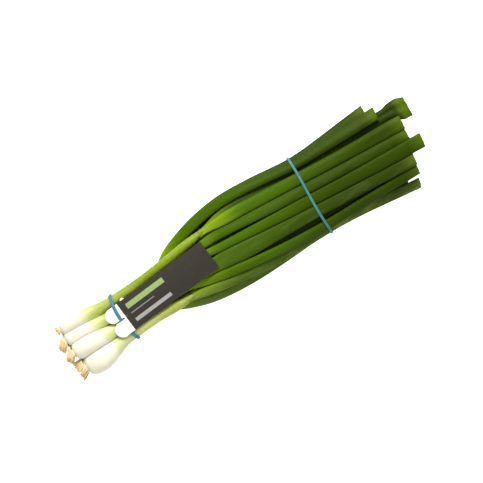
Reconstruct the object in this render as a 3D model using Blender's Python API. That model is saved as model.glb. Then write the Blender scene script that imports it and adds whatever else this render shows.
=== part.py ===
"""A bunch of spring onions lying on a table, held by two rubber bands, with a card tag.

Each stem and leaf is a strand along the bunch. A strand has one section in each of a row of upright
planes: a strip with round ends, which is a circle for a stem. The strands start on paths chosen by
hand, are spread apart until no two of them overlap, and are then skinned. The bands are wound round
the sections that they cross.
"""

import math
from dataclasses import dataclass, field

import bmesh
import bpy
import numpy as np
from mathutils import Matrix, Vector

# Lengths are in millimetres and are turned into metres where a mesh is made. S runs along the bunch
# from the root end, T runs across it and Z runs up from the table.
METRES = 0.001
LOWER_BAND_S = 57.0
UPPER_BAND_S = 235.0
STATIONS = np.array(
    [12, 18, 25, 33, 41, 49, 57, 68, 80, 92, 100, 108, 116, 124, 132, 140, 148]
    + [160, 174, 190, 206, 222, 235, 250, 268, 286, 304, 322, 342],
    dtype=float,
)
SEED = 11

# Clearances
GAP = 0.3
STRAND_GAP = 0.45
TABLE_CLEARANCE = 0.4

# Packing: the rounds it takes, the share of them over which the layers close up, how far closed they
# are when the top is held down, the share after which strands are mostly pushed apart, and the height
# about which the layers close up
PACK_ROUNDS = 700
CLOSING_SHARE = 0.5
SETTLED = 0.8
LAST_SHARE = 0.82
PACK_MIDDLE = 12.0
LOOSE_START = 0.7
# How strongly a strand is drawn to its path across, to its height and straight, and how often it is
# pushed clear in each round, first in most rounds and then in the last ones
PULL_SHARES = (1.0, 0.25)
HEIGHT_SHARES = (0.12, 0.03)
SMOOTH_SHARES = (0.25, 0.04)
PUSHES = (2, 4)
# Of a push by several neighbours at once, a strand makes at least this share
LEAST_PUSH = 0.5
# Middle lines nearer than this are parted up and down
NEARLY_TOUCHING = 0.3

# Stems
STEM_SIDES = 12
NECK_S = 50.0
BASE_PLATE_RADIUS = 0.55
BASE_ROUNDING = 2.4
BASE_RING_SHARES = (0.0, 0.1, 0.32, 0.62)
COLLAR_WALL = 0.7
COLLAR_FLATTENS_OVER = 45.0
COLLAR_DEPTH = 7.0
COLLAR_SLANT = 1.6

# Leaves
LEAF_SIDES = 8
LEAF_WALL = 0.75
LEAF_RECESS = 12.0
LEAF_FULL_WIDTH_AFTER = 30.0
LEAF_NECK_HALF_WIDTH = 3.4
LEAF_NECK_HALF_THICK = 0.9
LEAF_NECK_POWER = 0.7
LEAF_ROUNDNESS = 0.85
LEAF_CUT_SLANT = 1.8
# A leaf's first ring past the collar, and how far its free rings stay from the collar and the cut end
LEAF_PAST_COLLAR = 2.4
LEAF_CLEAR_OF_COLLAR = 4.0
LEAF_CLEAR_OF_END = 5.0
# Strips wider than this many times their thickness get round ends
FLAT_FROM = 1.2
# The stack of leaves in a collar: where their order is read, and how much of the collar they fill
STACK_ORDER_AFTER = 60.0
STACK_FILL = 0.92
STACK_CORE_FILL = 0.9
STACK_LEAST_HALF_WIDTH = 0.2
BUNCH_TOP = 25.6

# Roots
ROOTS_REACH = 8.0
ROOTS_PER_ONION = 14
ROOT_SIDES = 3
ROOT_RADIUS = 0.62
# A root's rings as (share of its length, share of its radius)
ROOT_RINGS = ((0.0, 1.0), (0.5, 0.9), (1.0, 0.62))
ROOT_LENGTHS = (4.0, 8.5)
ROOT_SPLAY = (0.10, 0.65)
ROOT_SIZES = (0.85, 1.2)
ROOT_SIDE_BEND = 1.0
ROOT_UPRIGHT_BEND = (-1.4, 0.6)
ROOT_TIP_CLEARANCE = 1.4
# How the tuft as a whole leans across and up, and how strongly each root follows it
TUFT_SIDE_LEAN = 0.5
TUFT_UPRIGHT_LEAN = (-0.35, 0.15)
TUFT_FOLLOWS = 0.6
# The roots leave the plate in an even spiral over this share of its radius
GOLDEN_ANGLE = 2.39996
ROOTS_OVER = 0.80
ROOT_PLATE_THICKNESS = 1.6
ROOT_PLATE_SHARE = 0.92
# The plate's rings as (share of its thickness, share of its radius)
ROOT_PLATE_RINGS = ((0.55, 0.94), (1.0, 0.66))

# Bands
BAND_THICKNESS = 1.0
LOWER_BAND_WIDTH = 2.8
UPPER_BAND_WIDTH = 2.4
BAND_FLAT_HALF = 9.0
BAND_SOFT_EDGE = 0.35
LOWER_BAND_STEPS = 44
UPPER_BAND_STEPS = 56
UPPER_BAND_CLEARANCE = 0.1
BULBS_END_S = 30.0
# The length along the bunch over which the strands lie high enough for a band under them, and the
# length that a band is wound on
LOWER_BAND_REACH = 12.0
UPPER_BAND_REACH = 16.0
LOWER_BAND_WOUND = 3.5
UPPER_BAND_WOUND = 3.6
# How far a band bows along the bunch, and the distance across over which it does so
LOWER_BOW = 3.2
LOWER_BOW_OVER = 20.0
LOWER_BOW_BACK = 1.4
UPPER_SWAY = 1.3
UPPER_SWAY_OVER = 16.0
UPPER_BOW = 0.6
UPPER_BOW_OVER = 34.0
UPPER_BOW_BACK = 0.4

# Tag
TAG_START_S = 46.0
TAG_MARGIN = 2.0
TAG_LENGTH = 97.0
TAG_HALF_WIDTH = 12.75
TAG_MIDDLE_T = -3.6
TAG_TURN = math.radians(3.9)
TAG_THICKNESS = 0.65
TAG_HEIGHT = 20.7
TAG_RISE = 0.034
TAG_ARCH = 0.006
TAG_LOBE_LENGTH = 13.0
TAG_SLIT_HALF = 0.9
TAG_NUB_LENGTH = 3.0
TAG_NUB_OUT = 1.6
TAG_NUB_AFTER_LOBE = 5.0
# The lower lobe rises over the band: fully near the band, then falling away over a length
TAG_RISE_NEAR = 0.65
TAG_RISE_OVER = 6.0
# Where the tag is cut into smaller faces so that it can bend
TAG_CUTS_ALONG = (7.0, 10.0, 14.5, 18.0, 24.0, 34.0, 52.0, 70.0, 84.0)
TAG_CUTS_ACROSS = (-8.0, -4.0, 0.0, 4.0, 8.0)

# Colours from the photo, as sRGB
STEM_COLOUR = (0.88, 0.89, 0.64)
LEAF_COLOUR = (0.25, 0.37, 0.04)
ROOT_COLOUR = (0.90, 0.77, 0.53)
LOWER_BAND_COLOUR = (0.33, 0.62, 0.72)
UPPER_BAND_COLOUR = (0.38, 0.62, 0.64)
TAG_COLOUR = (0.23, 0.21, 0.18)


@dataclass
class Onion:
    """One onion: where its bulb and stem lie, and where its collar opens."""

    name: str
    base: float
    bulb_radius: float
    bulb_at: float
    neck_radius: float
    collar: float
    collar_radius: float
    collar_flat: float
    across: list
    height: list
    pull: float = 0.30


@dataclass
class Leaf:
    """One leaf: its path across and up, its cut end and its half width at full size."""

    onion: str
    end: float
    half_width: float
    across: list
    height: list
    half_thick: float = 2.15
    tilt: float = 0.0
    pull: float = 0.06
    widths: list = field(default_factory=lambda: [(0.0, 1.0)])


# The four upper onions follow the photo. The three lower ones lie in the gaps under them.
ONIONS = [
    Onion(
        "a", base=11.0, bulb_radius=5.2, bulb_at=17.0, neck_radius=4.6,
        collar=148.0, collar_radius=3.6, collar_flat=1.12,
        across=[(12, 16.5), (25, 16.0), (45, 13.8), (57, 13.2), (80, 13.8), (108, 16.5), (132, 19.5),
                (148, 20.3)],
        height=[(12, 13.8), (57, 13.6), (100, 15.0), (148, 18.0)],
    ),
    Onion(
        "b", base=10.0, bulb_radius=5.1, bulb_at=17.0, neck_radius=4.7,
        collar=124.0, collar_radius=4.1, collar_flat=1.25,
        across=[(12, 7.0), (25, 6.6), (45, 4.2), (57, 4.0), (80, 4.6), (100, 6.0), (124, 8.4)],
        height=[(12, 13.9), (57, 15.2), (100, 16.2), (124, 17.2)],
    ),
    Onion(
        "c", base=10.5, bulb_radius=6.1, bulb_at=19.0, neck_radius=4.7,
        collar=116.0, collar_radius=4.1, collar_flat=1.3,
        across=[(12, -4.6), (25, -5.0), (45, -6.8), (57, -6.4), (80, -6.2), (100, -7.6), (116, -8.6)],
        height=[(12, 15.6), (57, 15.2), (100, 16.0), (116, 16.4)],
    ),
    Onion(
        "d", base=12.5, bulb_radius=7.9, bulb_at=23.0, neck_radius=4.8,
        collar=108.0, collar_radius=4.0, collar_flat=1.15,
        across=[(12, -19.5), (25, -19.7), (45, -17.6), (57, -16.6), (80, -15.4), (100, -16.6), (108, -17.4)],
        height=[(12, 12.0), (25, 12.0), (57, 13.0), (100, 14.0)],
    ),
    Onion(
        "e", base=14.0, bulb_radius=5.6, bulb_at=20.0, neck_radius=4.6,
        collar=100.0, collar_radius=4.4, collar_flat=1.25,
        across=[(12, 12.4), (57, 9.4), (80, 10.5), (100, 14.0)],
        height=[(12, 5.1), (57, 6.1), (100, 6.6)],
        pull=0.05,
    ),
    Onion(
        "f", base=13.0, bulb_radius=5.5, bulb_at=19.0, neck_radius=4.6,
        collar=108.0, collar_radius=4.4, collar_flat=1.25,
        across=[(12, 1.4), (57, -1.4), (108, 0.5)],
        height=[(12, 5.0), (57, 6.1), (108, 7.2)],
        pull=0.05,
    ),
    Onion(
        "g", base=15.0, bulb_radius=6.0, bulb_at=25.0, neck_radius=4.6,
        collar=92.0, collar_radius=4.4, collar_flat=1.2,
        across=[(12, -10.4), (57, -11.6), (80, -12.4), (92, -15.0)],
        height=[(12, 5.5), (57, 6.1), (92, 6.6)],
        pull=0.05,
    ),
]

# Leaves of the top layer follow their strips in the photo, and the rest fill the bunch below them.
LEAVES = [
    # The stem that shows its pale collar
    Leaf(
        "a", end=328.0, half_width=5.0,
        across=[(148, 20.6), (170, 19.4), (200, 17.2), (235, 14.8), (260, 12.0), (280, 10.4), (328, 7.6)],
        height=[(148, 19.5), (178, 21.5), (235, 20.8), (328, 17.0)],
        tilt=-0.10, pull=0.30,
        widths=[(0, 1.0), (260, 1.0), (300, 1.12), (328, 1.16)],
    ),
    Leaf(
        "a", end=339.0, half_width=5.0,
        across=[(148, 21.0), (178, 24.5), (206, 24.0), (235, 20.8), (268, 20.0), (304, 21.5), (339, 19.0)],
        height=[(148, 17.2), (178, 17.0), (235, 15.4), (304, 13.5), (339, 14.5)],
        tilt=-0.2, pull=0.15,
        widths=[(0, 1.0), (300, 1.0), (314, 0.95), (322, 1.25), (339, 1.65)],
    ),
    Leaf(
        "a", end=318.0, half_width=4.6,
        across=[(148, 19.0), (200, 13.0), (235, 10.0), (318, 10.0)],
        height=[(148, 15.6), (200, 15.6), (235, 15.8), (318, 12.0)],
    ),
    # Two leaves that leave from under the tag
    Leaf(
        "b", end=327.0, half_width=4.6,
        across=[(124, 9.5), (150, 14.2), (170, 12.8), (200, 9.0), (235, 5.0), (260, 2.4), (300, -0.2),
                (327, -2.0)],
        height=[(124, 18.6), (150, 20.2), (178, 22.4), (235, 22.0), (327, 17.5)],
        tilt=-0.05, pull=0.30,
        widths=[(0, 0.85), (160, 0.85), (215, 1.0)],
    ),
    Leaf(
        "b", end=334.5, half_width=4.9,
        across=[(124, 8.0), (145, 3.8), (160, 2.2), (200, -1.6), (235, -5.0), (260, -7.4), (300, -10.0),
                (334, -12.7)],
        height=[(124, 17.2), (150, 19.6), (178, 22.4), (235, 22.3), (334, 18.2)],
        tilt=0.04, pull=0.30,
        widths=[(0, 0.72), (160, 0.72), (215, 0.95), (300, 1.05), (334, 1.15)],
    ),
    Leaf(
        "b", end=314.0, half_width=4.7,
        across=[(124, 7.0), (178, 4.0), (235, -0.6), (314, -4.0)],
        height=[(124, 15.8), (178, 17.2), (235, 17.2), (314, 13.0)],
    ),
    # The wide dark leaf and the bright one beside it
    Leaf(
        "c", end=321.0, half_width=5.0,
        across=[(116, -8.0), (145, -7.4), (160, -8.8), (180, -10.4), (200, -12.3), (235, -14.3),
                (260, -16.0), (300, -19.7), (321, -21.0)],
        height=[(116, 18.0), (150, 19.8), (178, 21.6), (235, 20.8), (321, 16.0)],
        tilt=0.10, pull=0.30,
        widths=[(0, 1.0), (130, 1.0), (150, 1.38), (172, 1.38), (205, 1.1), (235, 0.95), (321, 0.95)],
    ),
    Leaf(
        "c", end=320.0, half_width=3.9,
        across=[(116, -10.2), (125, -12.2), (140, -15.2), (160, -19.4), (180, -23.0), (200, -25.2),
                (235, -27.2), (268, -27.2), (320, -28.5)],
        height=[(116, 16.6), (140, 17.0), (178, 18.0), (235, 16.8), (320, 12.5)],
        tilt=0.30, pull=0.25,
    ),
    Leaf(
        "c", end=311.0, half_width=4.6,
        across=[(116, -8.6), (150, -10.0), (178, -11.6), (235, -10.0), (311, -11.5)],
        height=[(116, 15.0), (178, 16.4), (235, 16.6), (311, 12.0)],
    ),
    # The fanned leaf at the lower side
    Leaf(
        "d", end=316.0, half_width=4.0,
        across=[(108, -17.6), (130, -19.8), (150, -24.4), (170, -28.2), (190, -30.8), (235, -30.6),
                (262, -32.8), (288, -36.3), (316, -41.0)],
        height=[(108, 15.2), (130, 14.6), (178, 13.8), (235, 12.0), (316, 6.0)],
        tilt=0.45, pull=0.25,
    ),
    Leaf(
        "d", end=316.0, half_width=4.6,
        across=[(108, -16.6), (178, -20.5), (235, -18.4), (316, -18.0)],
        height=[(108, 12.2), (178, 11.0), (235, 12.8), (316, 9.0)],
    ),
    Leaf(
        "d", end=314.0, half_width=4.4,
        across=[(108, -16.6), (150, -18.0), (200, -20.0), (235, -21.6), (268, -23.0), (314, -24.6)],
        height=[(108, 13.6), (178, 13.2), (206, 15.0), (235, 17.6), (314, 13.5)],
        tilt=0.15, pull=0.12,
    ),
    # Two leaves at the upper side, one over the other
    Leaf(
        "e", end=315.0, half_width=5.1,
        across=[(100, 15.0), (110, 20.6), (130, 27.2), (150, 32.2), (170, 34.8), (200, 32.2), (235, 26.2),
                (268, 25.4), (315, 25.2)],
        height=[(100, 7.8), (116, 8.4), (132, 11.0), (150, 14.0), (178, 16.6), (235, 17.0), (315, 14.0)],
        tilt=-0.35, pull=0.25,
        widths=[(0, 0.9), (180, 1.0), (222, 0.94), (250, 0.94), (315, 1.04)],
    ),
    Leaf(
        "e", end=309.0, half_width=4.3,
        across=[(100, 14.2), (116, 20.0), (140, 28.6), (170, 35.4), (200, 34.2), (235, 28.2), (262, 29.2),
                (309, 33.6)],
        height=[(100, 6.6), (132, 8.0), (178, 11.5), (235, 12.0), (309, 9.0)],
        tilt=-0.45, pull=0.15,
        widths=[(0, 1.0), (200, 1.0), (235, 0.86), (268, 1.0)],
    ),
    Leaf(
        "e", end=297.0, half_width=4.7,
        across=[(100, 13.4), (132, 21.0), (150, 25.4), (178, 28.0), (235, 25.2), (297, 27.0)],
        height=[(100, 4.4), (150, 6.6), (178, 7.4), (235, 7.6), (297, 4.5)],
        tilt=-0.2, pull=0.12,
    ),
    Leaf(
        "e", end=320.0, half_width=4.7,
        across=[(100, 12.4), (150, 16.0), (178, 18.0), (235, 14.8), (320, 16.0)],
        height=[(100, 5.6), (178, 10.5), (235, 11.6), (320, 8.0)],
    ),
    # Leaves inside the bunch
    Leaf(
        "f", end=322.0, half_width=4.7,
        across=[(108, 2.6), (178, 8.0), (235, 4.4), (322, 4.6)],
        height=[(108, 9.2), (178, 12.4), (235, 12.6), (322, 8.5)],
    ),
    Leaf(
        "f", end=305.0, half_width=4.7,
        across=[(108, 1.2), (178, -4.0), (235, -5.6), (305, -7.0)],
        height=[(108, 7.9), (178, 11.8), (235, 12.4), (305, 8.5)],
    ),
    Leaf(
        "f", end=318.0, half_width=4.6,
        across=[(108, 0.4), (178, 8.8), (235, 8.6), (318, 10.0)],
        height=[(108, 6.6), (178, 6.4), (235, 7.4), (318, 3.2)],
    ),
    Leaf(
        "f", end=306.0, half_width=4.6,
        across=[(108, -0.6), (178, -2.0), (235, -1.4), (306, -1.6)],
        height=[(108, 5.2), (178, 5.0), (235, 7.2), (306, 3.2)],
    ),
    Leaf(
        "g", end=308.0, half_width=4.2,
        across=[(92, -15.0), (100, -18.6), (110, -21.8), (120, -24.6), (130, -27.0), (150, -31.0),
                (170, -32.2), (200, -31.6), (235, -28.6), (308, -31.5)],
        height=[(92, 8.2), (108, 9.0), (150, 9.6), (178, 9.0), (235, 7.8), (308, 4.5)],
        tilt=0.45, pull=0.20,
    ),
    Leaf(
        "g", end=318.0, half_width=4.6,
        across=[(92, -14.4), (150, -21.0), (178, -23.0), (235, -20.6), (318, -22.0)],
        height=[(92, 5.6), (178, 6.6), (235, 6.4), (318, 3.2)],
        tilt=0.15,
    ),
    Leaf(
        "g", end=316.0, half_width=4.7,
        across=[(92, -13.6), (150, -12.5), (178, -12.6), (235, -11.6), (316, -13.0)],
        height=[(92, 4.4), (178, 6.2), (235, 6.4), (316, 3.2)],
    ),
    Leaf(
        "g", end=306.0, half_width=4.6,
        across=[(92, -12.8), (178, -14.4), (235, -15.6), (306, -16.0)],
        height=[(92, 6.6), (130, 7.0), (178, 10.2), (235, 10.6), (306, 6.5)],
    ),
]


def along(points, where):
    """Values at the given stations on the path through a few hand-chosen (station, value) points."""
    stations, values = zip(*points)
    return np.interp(where, stations, values)


def clear_scene():
    for obj in list(bpy.data.objects):
        bpy.data.objects.remove(obj, do_unlink=True)


def material(name, colour, roughness, metallic=0.0):
    """A Principled material from an sRGB colour."""
    made = bpy.data.materials.new(name)
    made.use_nodes = True
    shader = made.node_tree.nodes["Principled BSDF"]
    linear = [c / 12.92 if c <= 0.04045 else ((c + 0.055) / 1.055) ** 2.4 for c in colour]
    shader.inputs["Base Color"].default_value = (*linear, 1.0)
    shader.inputs["Roughness"].default_value = roughness
    shader.inputs["Metallic"].default_value = metallic
    made.diffuse_color = (*linear, 1.0)
    return made


# Strands and their packing

class Strands:
    """All stems and leaves as arrays, with one row for each strand and one column for each station."""

    def __init__(self):
        stems = [self.stem_row(onion) for onion in ONIONS]
        leaves = [self.leaf_row(leaf) for leaf in LEAVES]
        rows = stems + leaves
        self.t, self.z, self.wide, self.thick, self.tilt, self.alive = (
            np.array([row[k] for row in rows]) for k in range(6)
        )
        self.pull = np.array([onion.pull for onion in ONIONS] + [leaf.pull for leaf in LEAVES])[:, None]
        self.t_goal = self.t.copy()
        self.z_goal = self.z.copy()
        # True for the gap between stations in which a leaf leaves its collar
        self.collar_gap = np.zeros((len(self.t), len(STATIONS) - 1), bool)
        for k, leaf in enumerate(LEAVES):
            self.collar_gap[len(ONIONS) + k, station_index(onion_named(leaf.onion).collar)] = True
        self.stack_leaves()

    @staticmethod
    def stem_row(onion):
        thick = stem_radius(onion, STATIONS)
        wide = thick * stem_flat(onion, STATIONS)
        alive = (STATIONS <= onion.collar) & (STATIONS >= onion.base - ROOTS_REACH)
        return (along(onion.across, STATIONS), along(onion.height, STATIONS), wide, thick,
                np.zeros(len(STATIONS)), alive)

    @staticmethod
    def leaf_row(leaf):
        onion = onion_named(leaf.onion)
        grown = np.clip((STATIONS - onion.collar) / LEAF_FULL_WIDTH_AFTER, 0.0, 1.0) ** LEAF_NECK_POWER
        wide = LEAF_NECK_HALF_WIDTH + (leaf.half_width - LEAF_NECK_HALF_WIDTH) * grown
        wide = wide * along(leaf.widths, STATIONS)
        thick = LEAF_NECK_HALF_THICK + (leaf.half_thick - LEAF_NECK_HALF_THICK) * grown
        first_past_end = STATIONS[np.searchsorted(STATIONS, leaf.end)]
        alive = (STATIONS > onion.collar) & (STATIONS <= first_past_end)
        return (along(leaf.across, STATIONS), along(leaf.height, STATIONS), wide, thick,
                leaf.tilt * grown, alive)

    def stack_leaves(self):
        """Lay the leaves of each onion flat on each other inside its collar, the highest on top."""
        self.offset = np.zeros(len(LEAVES))
        self.stack_wide = np.zeros(len(LEAVES))
        self.stack_thick = np.zeros(len(LEAVES))
        for onion in ONIONS:
            mine = [k for k, leaf in enumerate(LEAVES) if leaf.onion == onion.name]
            mine.sort(key=lambda k: -float(along(LEAVES[k].height, onion.collar + STACK_ORDER_AFTER)))
            inner = onion.collar_radius - COLLAR_WALL - GAP
            core = onion.collar_radius * (onion.collar_flat - 1.0)
            step = 2.0 * inner / len(mine)
            half = step / 2.0 - GAP / 2.0
            for place, k in enumerate(mine):
                middle = inner - step * (place + 0.5)
                reach = inner - half
                self.offset[k] = middle
                self.stack_thick[k] = half
                across = math.sqrt(max(reach**2 - middle**2, STACK_LEAST_HALF_WIDTH**2))
                self.stack_wide[k] = half + core * STACK_CORE_FILL + across * STACK_FILL

    def stacked(self):
        """Set each leaf at its onion's collar to its place in the stack there."""
        for k, leaf in enumerate(LEAVES):
            onion = ONIONS.index(onion_named(leaf.onion))
            column = station_index(ONIONS[onion].collar)
            row = len(ONIONS) + k
            self.t[row, : column + 1] = self.t[onion, : column + 1]
            self.z[row, : column + 1] = self.z[onion, : column + 1] + self.offset[k]
            self.wide[row, : column + 1] = self.stack_wide[k]
            self.thick[row, : column + 1] = self.stack_thick[k]
            self.tilt[row, : column + 1] = 0.0

    def pack(self):
        """Pull each strand to its path, smooth it, and push overlapping strands apart.

        The layers start far apart and close up over the first half of the rounds.
        """
        for turn in range(PACK_ROUNDS):
            settle = min(turn / (PACK_ROUNDS * CLOSING_SHARE), 1.0)
            last = int(turn > PACK_ROUNDS * LAST_SHARE)
            spread = 1.0 + LOOSE_START * (1.0 - settle)
            z_goal = PACK_MIDDLE + (self.z_goal - PACK_MIDDLE) * spread
            if turn == 0:
                self.z = z_goal.copy()
            self.t += self.pull * PULL_SHARES[last] * (self.t_goal - self.t)
            self.z += HEIGHT_SHARES[last] * (z_goal - self.z)
            self.smooth(SMOOTH_SHARES[last])
            self.stacked()
            for _ in range(PUSHES[last]):
                self.push()
                self.keep_in_bounds(settle)
                self.stacked()

    def smooth(self, share):
        """Draw each strand towards the straight line between its neighbouring stations."""
        left = STATIONS[1:-1] - STATIONS[:-2]
        right = STATIONS[2:] - STATIONS[1:-1]
        between = self.alive[:, 2:] & self.alive[:, :-2]
        for value in (self.t, self.z):
            line = (value[:, :-2] * right + value[:, 2:] * left) / (left + right)
            value[:, 1:-1] += share * np.where(between, line - value[:, 1:-1], 0.0)

    def push(self):
        """Move apart every pair of strips that overlap, at the stations and halfway between them."""
        now = self.sections(self.t, self.z, self.wide, self.thick, self.tilt)
        move_t, move_z, hits = self.pair_moves(*now, self.alive)
        arrays = (self.t, self.z, self.wide, self.thick, self.tilt)
        mid = [(v[:, :-1] + v[:, 1:]) / 2.0 for v in arrays]
        starts = self.alive[:, 1:] & (self.alive[:, :-1] | self.collar_gap)
        half_t, half_z, half_hits = self.pair_moves(*self.sections(*mid), starts)
        for total, half in ((move_t, half_t), (move_z, half_z), (hits, half_hits)):
            total[:, :-1] += half
            total[:, 1:] += half
        share = np.maximum(1.0 / np.maximum(hits, 1.0), LEAST_PUSH) * self.alive
        self.t += move_t * share
        self.z += move_z * share

    @staticmethod
    def sections(t, z, wide, thick, tilt):
        """The two ends of each strip's middle line, and its rounding radius."""
        reach = np.maximum(wide - thick, 0.0)
        dt, dz = reach * np.cos(tilt), reach * np.sin(tilt)
        return np.stack([t - dt, z - dz], -1), np.stack([t + dt, z + dz], -1), thick

    @staticmethod
    def pair_moves(start, end, radius, alive):
        """How far each strip has to move to be clear of the strips that it overlaps."""
        first, second = np.triu_indices(len(start), 1)
        a0, a1, b0, b1 = start[first], end[first], start[second], end[second]
        best = np.full(a0.shape[:2], np.inf)
        apart = np.zeros_like(a0)
        ends = ((a0, b0, b1, 1.0), (a1, b0, b1, 1.0), (b0, a0, a1, -1.0), (b1, a0, a1, -1.0))
        for point, p, q, sign in ends:
            line = q - p
            share = ((point - p) * line).sum(-1) / np.maximum((line * line).sum(-1), 1e-9)
            nearest = p + np.clip(share, 0.0, 1.0)[..., None] * line
            away = (point - nearest) * sign
            distance = np.linalg.norm(away, axis=-1)
            closer = distance < best
            best = np.where(closer, distance, best)
            apart = np.where(closer[..., None], away, apart)
        # Strips whose middle lines nearly touch are parted up and down, in the order they already have.
        middle = (a0 + a1 - b0 - b1) / 2.0
        upright = np.stack([np.zeros_like(best), np.where(middle[..., 1] >= 0, 1.0, -1.0)], -1)
        touching = (best < NEARLY_TOUCHING)[..., None]
        direction = np.where(touching, upright, apart / np.maximum(best, 1e-6)[..., None])
        short = radius[first] + radius[second] + STRAND_GAP - best
        short = np.where(alive[first] & alive[second], np.maximum(short, 0.0), 0.0)
        move = direction * (short * 0.5)[..., None]
        moved = np.zeros((len(start), start.shape[1], 2))
        hits = np.zeros((len(start), start.shape[1]))
        np.add.at(moved, first, move)
        np.add.at(moved, second, -move)
        np.add.at(hits, first, short > 0)
        np.add.at(hits, second, short > 0)
        return moved[..., 0], moved[..., 1], hits

    def keep_in_bounds(self, settle):
        """Keep every strip above the table and, once settled, below the tag and the bunch's top."""
        drop = self.thick + np.maximum(self.wide - self.thick, 0.0) * np.abs(np.sin(self.tilt))
        drop[: len(ONIONS)] *= math.cos(math.pi / STEM_SIDES)
        self.z = np.maximum(self.z, floor_at(STATIONS) + drop)
        if settle < SETTLED:
            return
        self.z = np.minimum(self.z, np.maximum(BUNCH_TOP - drop, floor_at(STATIONS) + drop))
        reach = np.maximum(self.wide - self.thick, 0.0) * np.cos(self.tilt)
        for side in (-1.0, 0.0, 1.0):
            edge = self.t + side * reach
            under = np.abs(tag_across(STATIONS, edge)) < TAG_HALF_WIDTH + TAG_MARGIN
            under &= STATIONS > TAG_START_S - TAG_MARGIN
            under &= STATIONS < TAG_START_S + TAG_LENGTH + 3.0 * TAG_MARGIN
            limit = tag_underside(STATIONS, edge) - STRAND_GAP - self.thick - side * reach * np.sin(self.tilt)
            self.z = np.where(under, np.minimum(self.z, limit), self.z)

    def section_at(self, row, s):
        """(t, z, wide, thick, tilt) of a strand at any place along it."""
        arrays = (self.t, self.z, self.wide, self.thick, self.tilt)
        return tuple(float(np.interp(s, STATIONS, v[row])) for v in arrays)


def onion_named(name):
    return next(onion for onion in ONIONS if onion.name == name)


def station_index(s):
    return int(np.argmin(np.abs(STATIONS - s)))


def stem_radius(onion, s):
    """The radius of a bulb and its stem: full a little above the base, then drawn in to the collar."""
    s = np.asarray(s, dtype=float)
    to_neck = np.clip((s - onion.bulb_at) / (NECK_S - onion.bulb_at), 0.0, 1.0)
    narrowing = to_neck * to_neck * (3.0 - 2.0 * to_neck)
    radius = onion.bulb_radius + (onion.neck_radius - onion.bulb_radius) * narrowing
    to_collar = np.clip((s - NECK_S) / (onion.collar - NECK_S), 0.0, 1.0)
    radius = radius + (onion.collar_radius - onion.neck_radius) * to_collar
    below = np.clip((onion.bulb_at - s) / (onion.bulb_at - onion.base), 0.0, 1.0)
    return radius * np.sqrt(1.0 - (1.0 - BASE_PLATE_RADIUS**2) * below**BASE_ROUNDING)


def stem_flat(onion, s):
    """How much wider than high a stem is: round at the neck, and a little flattened at its collar."""
    near = np.clip(1.0 - (onion.collar - np.asarray(s, dtype=float)) / COLLAR_FLATTENS_OVER, 0.0, 1.0)
    return 1.0 + (onion.collar_flat - 1.0) * near


def floor_at(s):
    """The lowest that a strand may lie: on the table at the bulbs, and on the upper band further up."""
    upper = np.abs(s - UPPER_BAND_S) < UPPER_BAND_REACH
    lower = np.abs(s - LOWER_BAND_S) < LOWER_BAND_REACH
    banded = BAND_THICKNESS + GAP + np.where(upper, UPPER_BAND_CLEARANCE, TABLE_CLEARANCE)
    return np.where(s < BULBS_END_S, 0.0, np.where(upper | lower, banded, TABLE_CLEARANCE))


# The tag's surface, which the stems stay under

def tag_across(s, t):
    """Distance across the tag from its middle line."""
    return (t - TAG_MIDDLE_T) * math.cos(TAG_TURN) - (s - TAG_START_S) * math.sin(TAG_TURN)


def tag_underside(s, t):
    return TAG_HEIGHT + TAG_RISE * (s - LOWER_BAND_S) - TAG_ARCH * tag_across(s, t) ** 2


# Meshes

def ring(bm, points):
    """A closed loop of new vertices and edges."""
    verts = [bm.verts.new(point * METRES) for point in points]
    for k, vert in enumerate(verts):
        bm.edges.new((vert, verts[(k + 1) % len(verts)]))
    return verts


def extrude_ring(bm, verts, points):
    """Extrude a closed loop and move the new loop onto the given points."""
    edges = [bm.edges.get((vert, verts[(k + 1) % len(verts)])) for k, vert in enumerate(verts)]
    made = bmesh.ops.extrude_edge_only(bm, edges=edges)["geom"]
    fresh = {item for item in made if isinstance(item, bmesh.types.BMVert)}
    moved = []
    for vert, point in zip(verts, points):
        new = next(edge.other_vert(vert) for edge in vert.link_edges if edge.other_vert(vert) in fresh)
        new.co = point * METRES
        moved.append(new)
    return moved


def close_ring(bm, verts):
    bmesh.ops.contextual_create(bm, geom=verts)


def finish_object(bm, name, finish, smooth_angle=40.0):
    """Turn a closed bmesh into an object with its faces pointing out."""
    bmesh.ops.recalc_face_normals(bm, faces=bm.faces)
    mesh = bpy.data.meshes.new(name)
    bm.to_mesh(mesh)
    bm.free()
    mesh.materials.append(finish)
    mesh.shade_smooth()
    mesh.set_sharp_from_angle(angle=math.radians(smooth_angle))
    obj = bpy.data.objects.new(name, mesh)
    bpy.context.scene.collection.objects.link(obj)
    return obj


def section_points(s, t, z, wide, thick, tilt, sides, slant=0.0):
    """Points round a strand's section. A flat strip gets round ends, and a stem a circle."""
    points = []
    for k in range(sides):
        angle = 2.0 * math.pi * (k + 0.5) / sides
        power = LEAF_ROUNDNESS if wide > thick * FLAT_FROM else 1.0
        across = math.copysign(abs(math.cos(angle)) ** power, math.cos(angle)) * wide
        up = math.copysign(abs(math.sin(angle)) ** power, math.sin(angle)) * thick
        dt = across * math.cos(tilt) - up * math.sin(tilt)
        dz = across * math.sin(tilt) + up * math.cos(tilt)
        points.append(Vector((s + slant * across / max(wide, 1e-6), t + dt, z + dz)))
    return points


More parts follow.
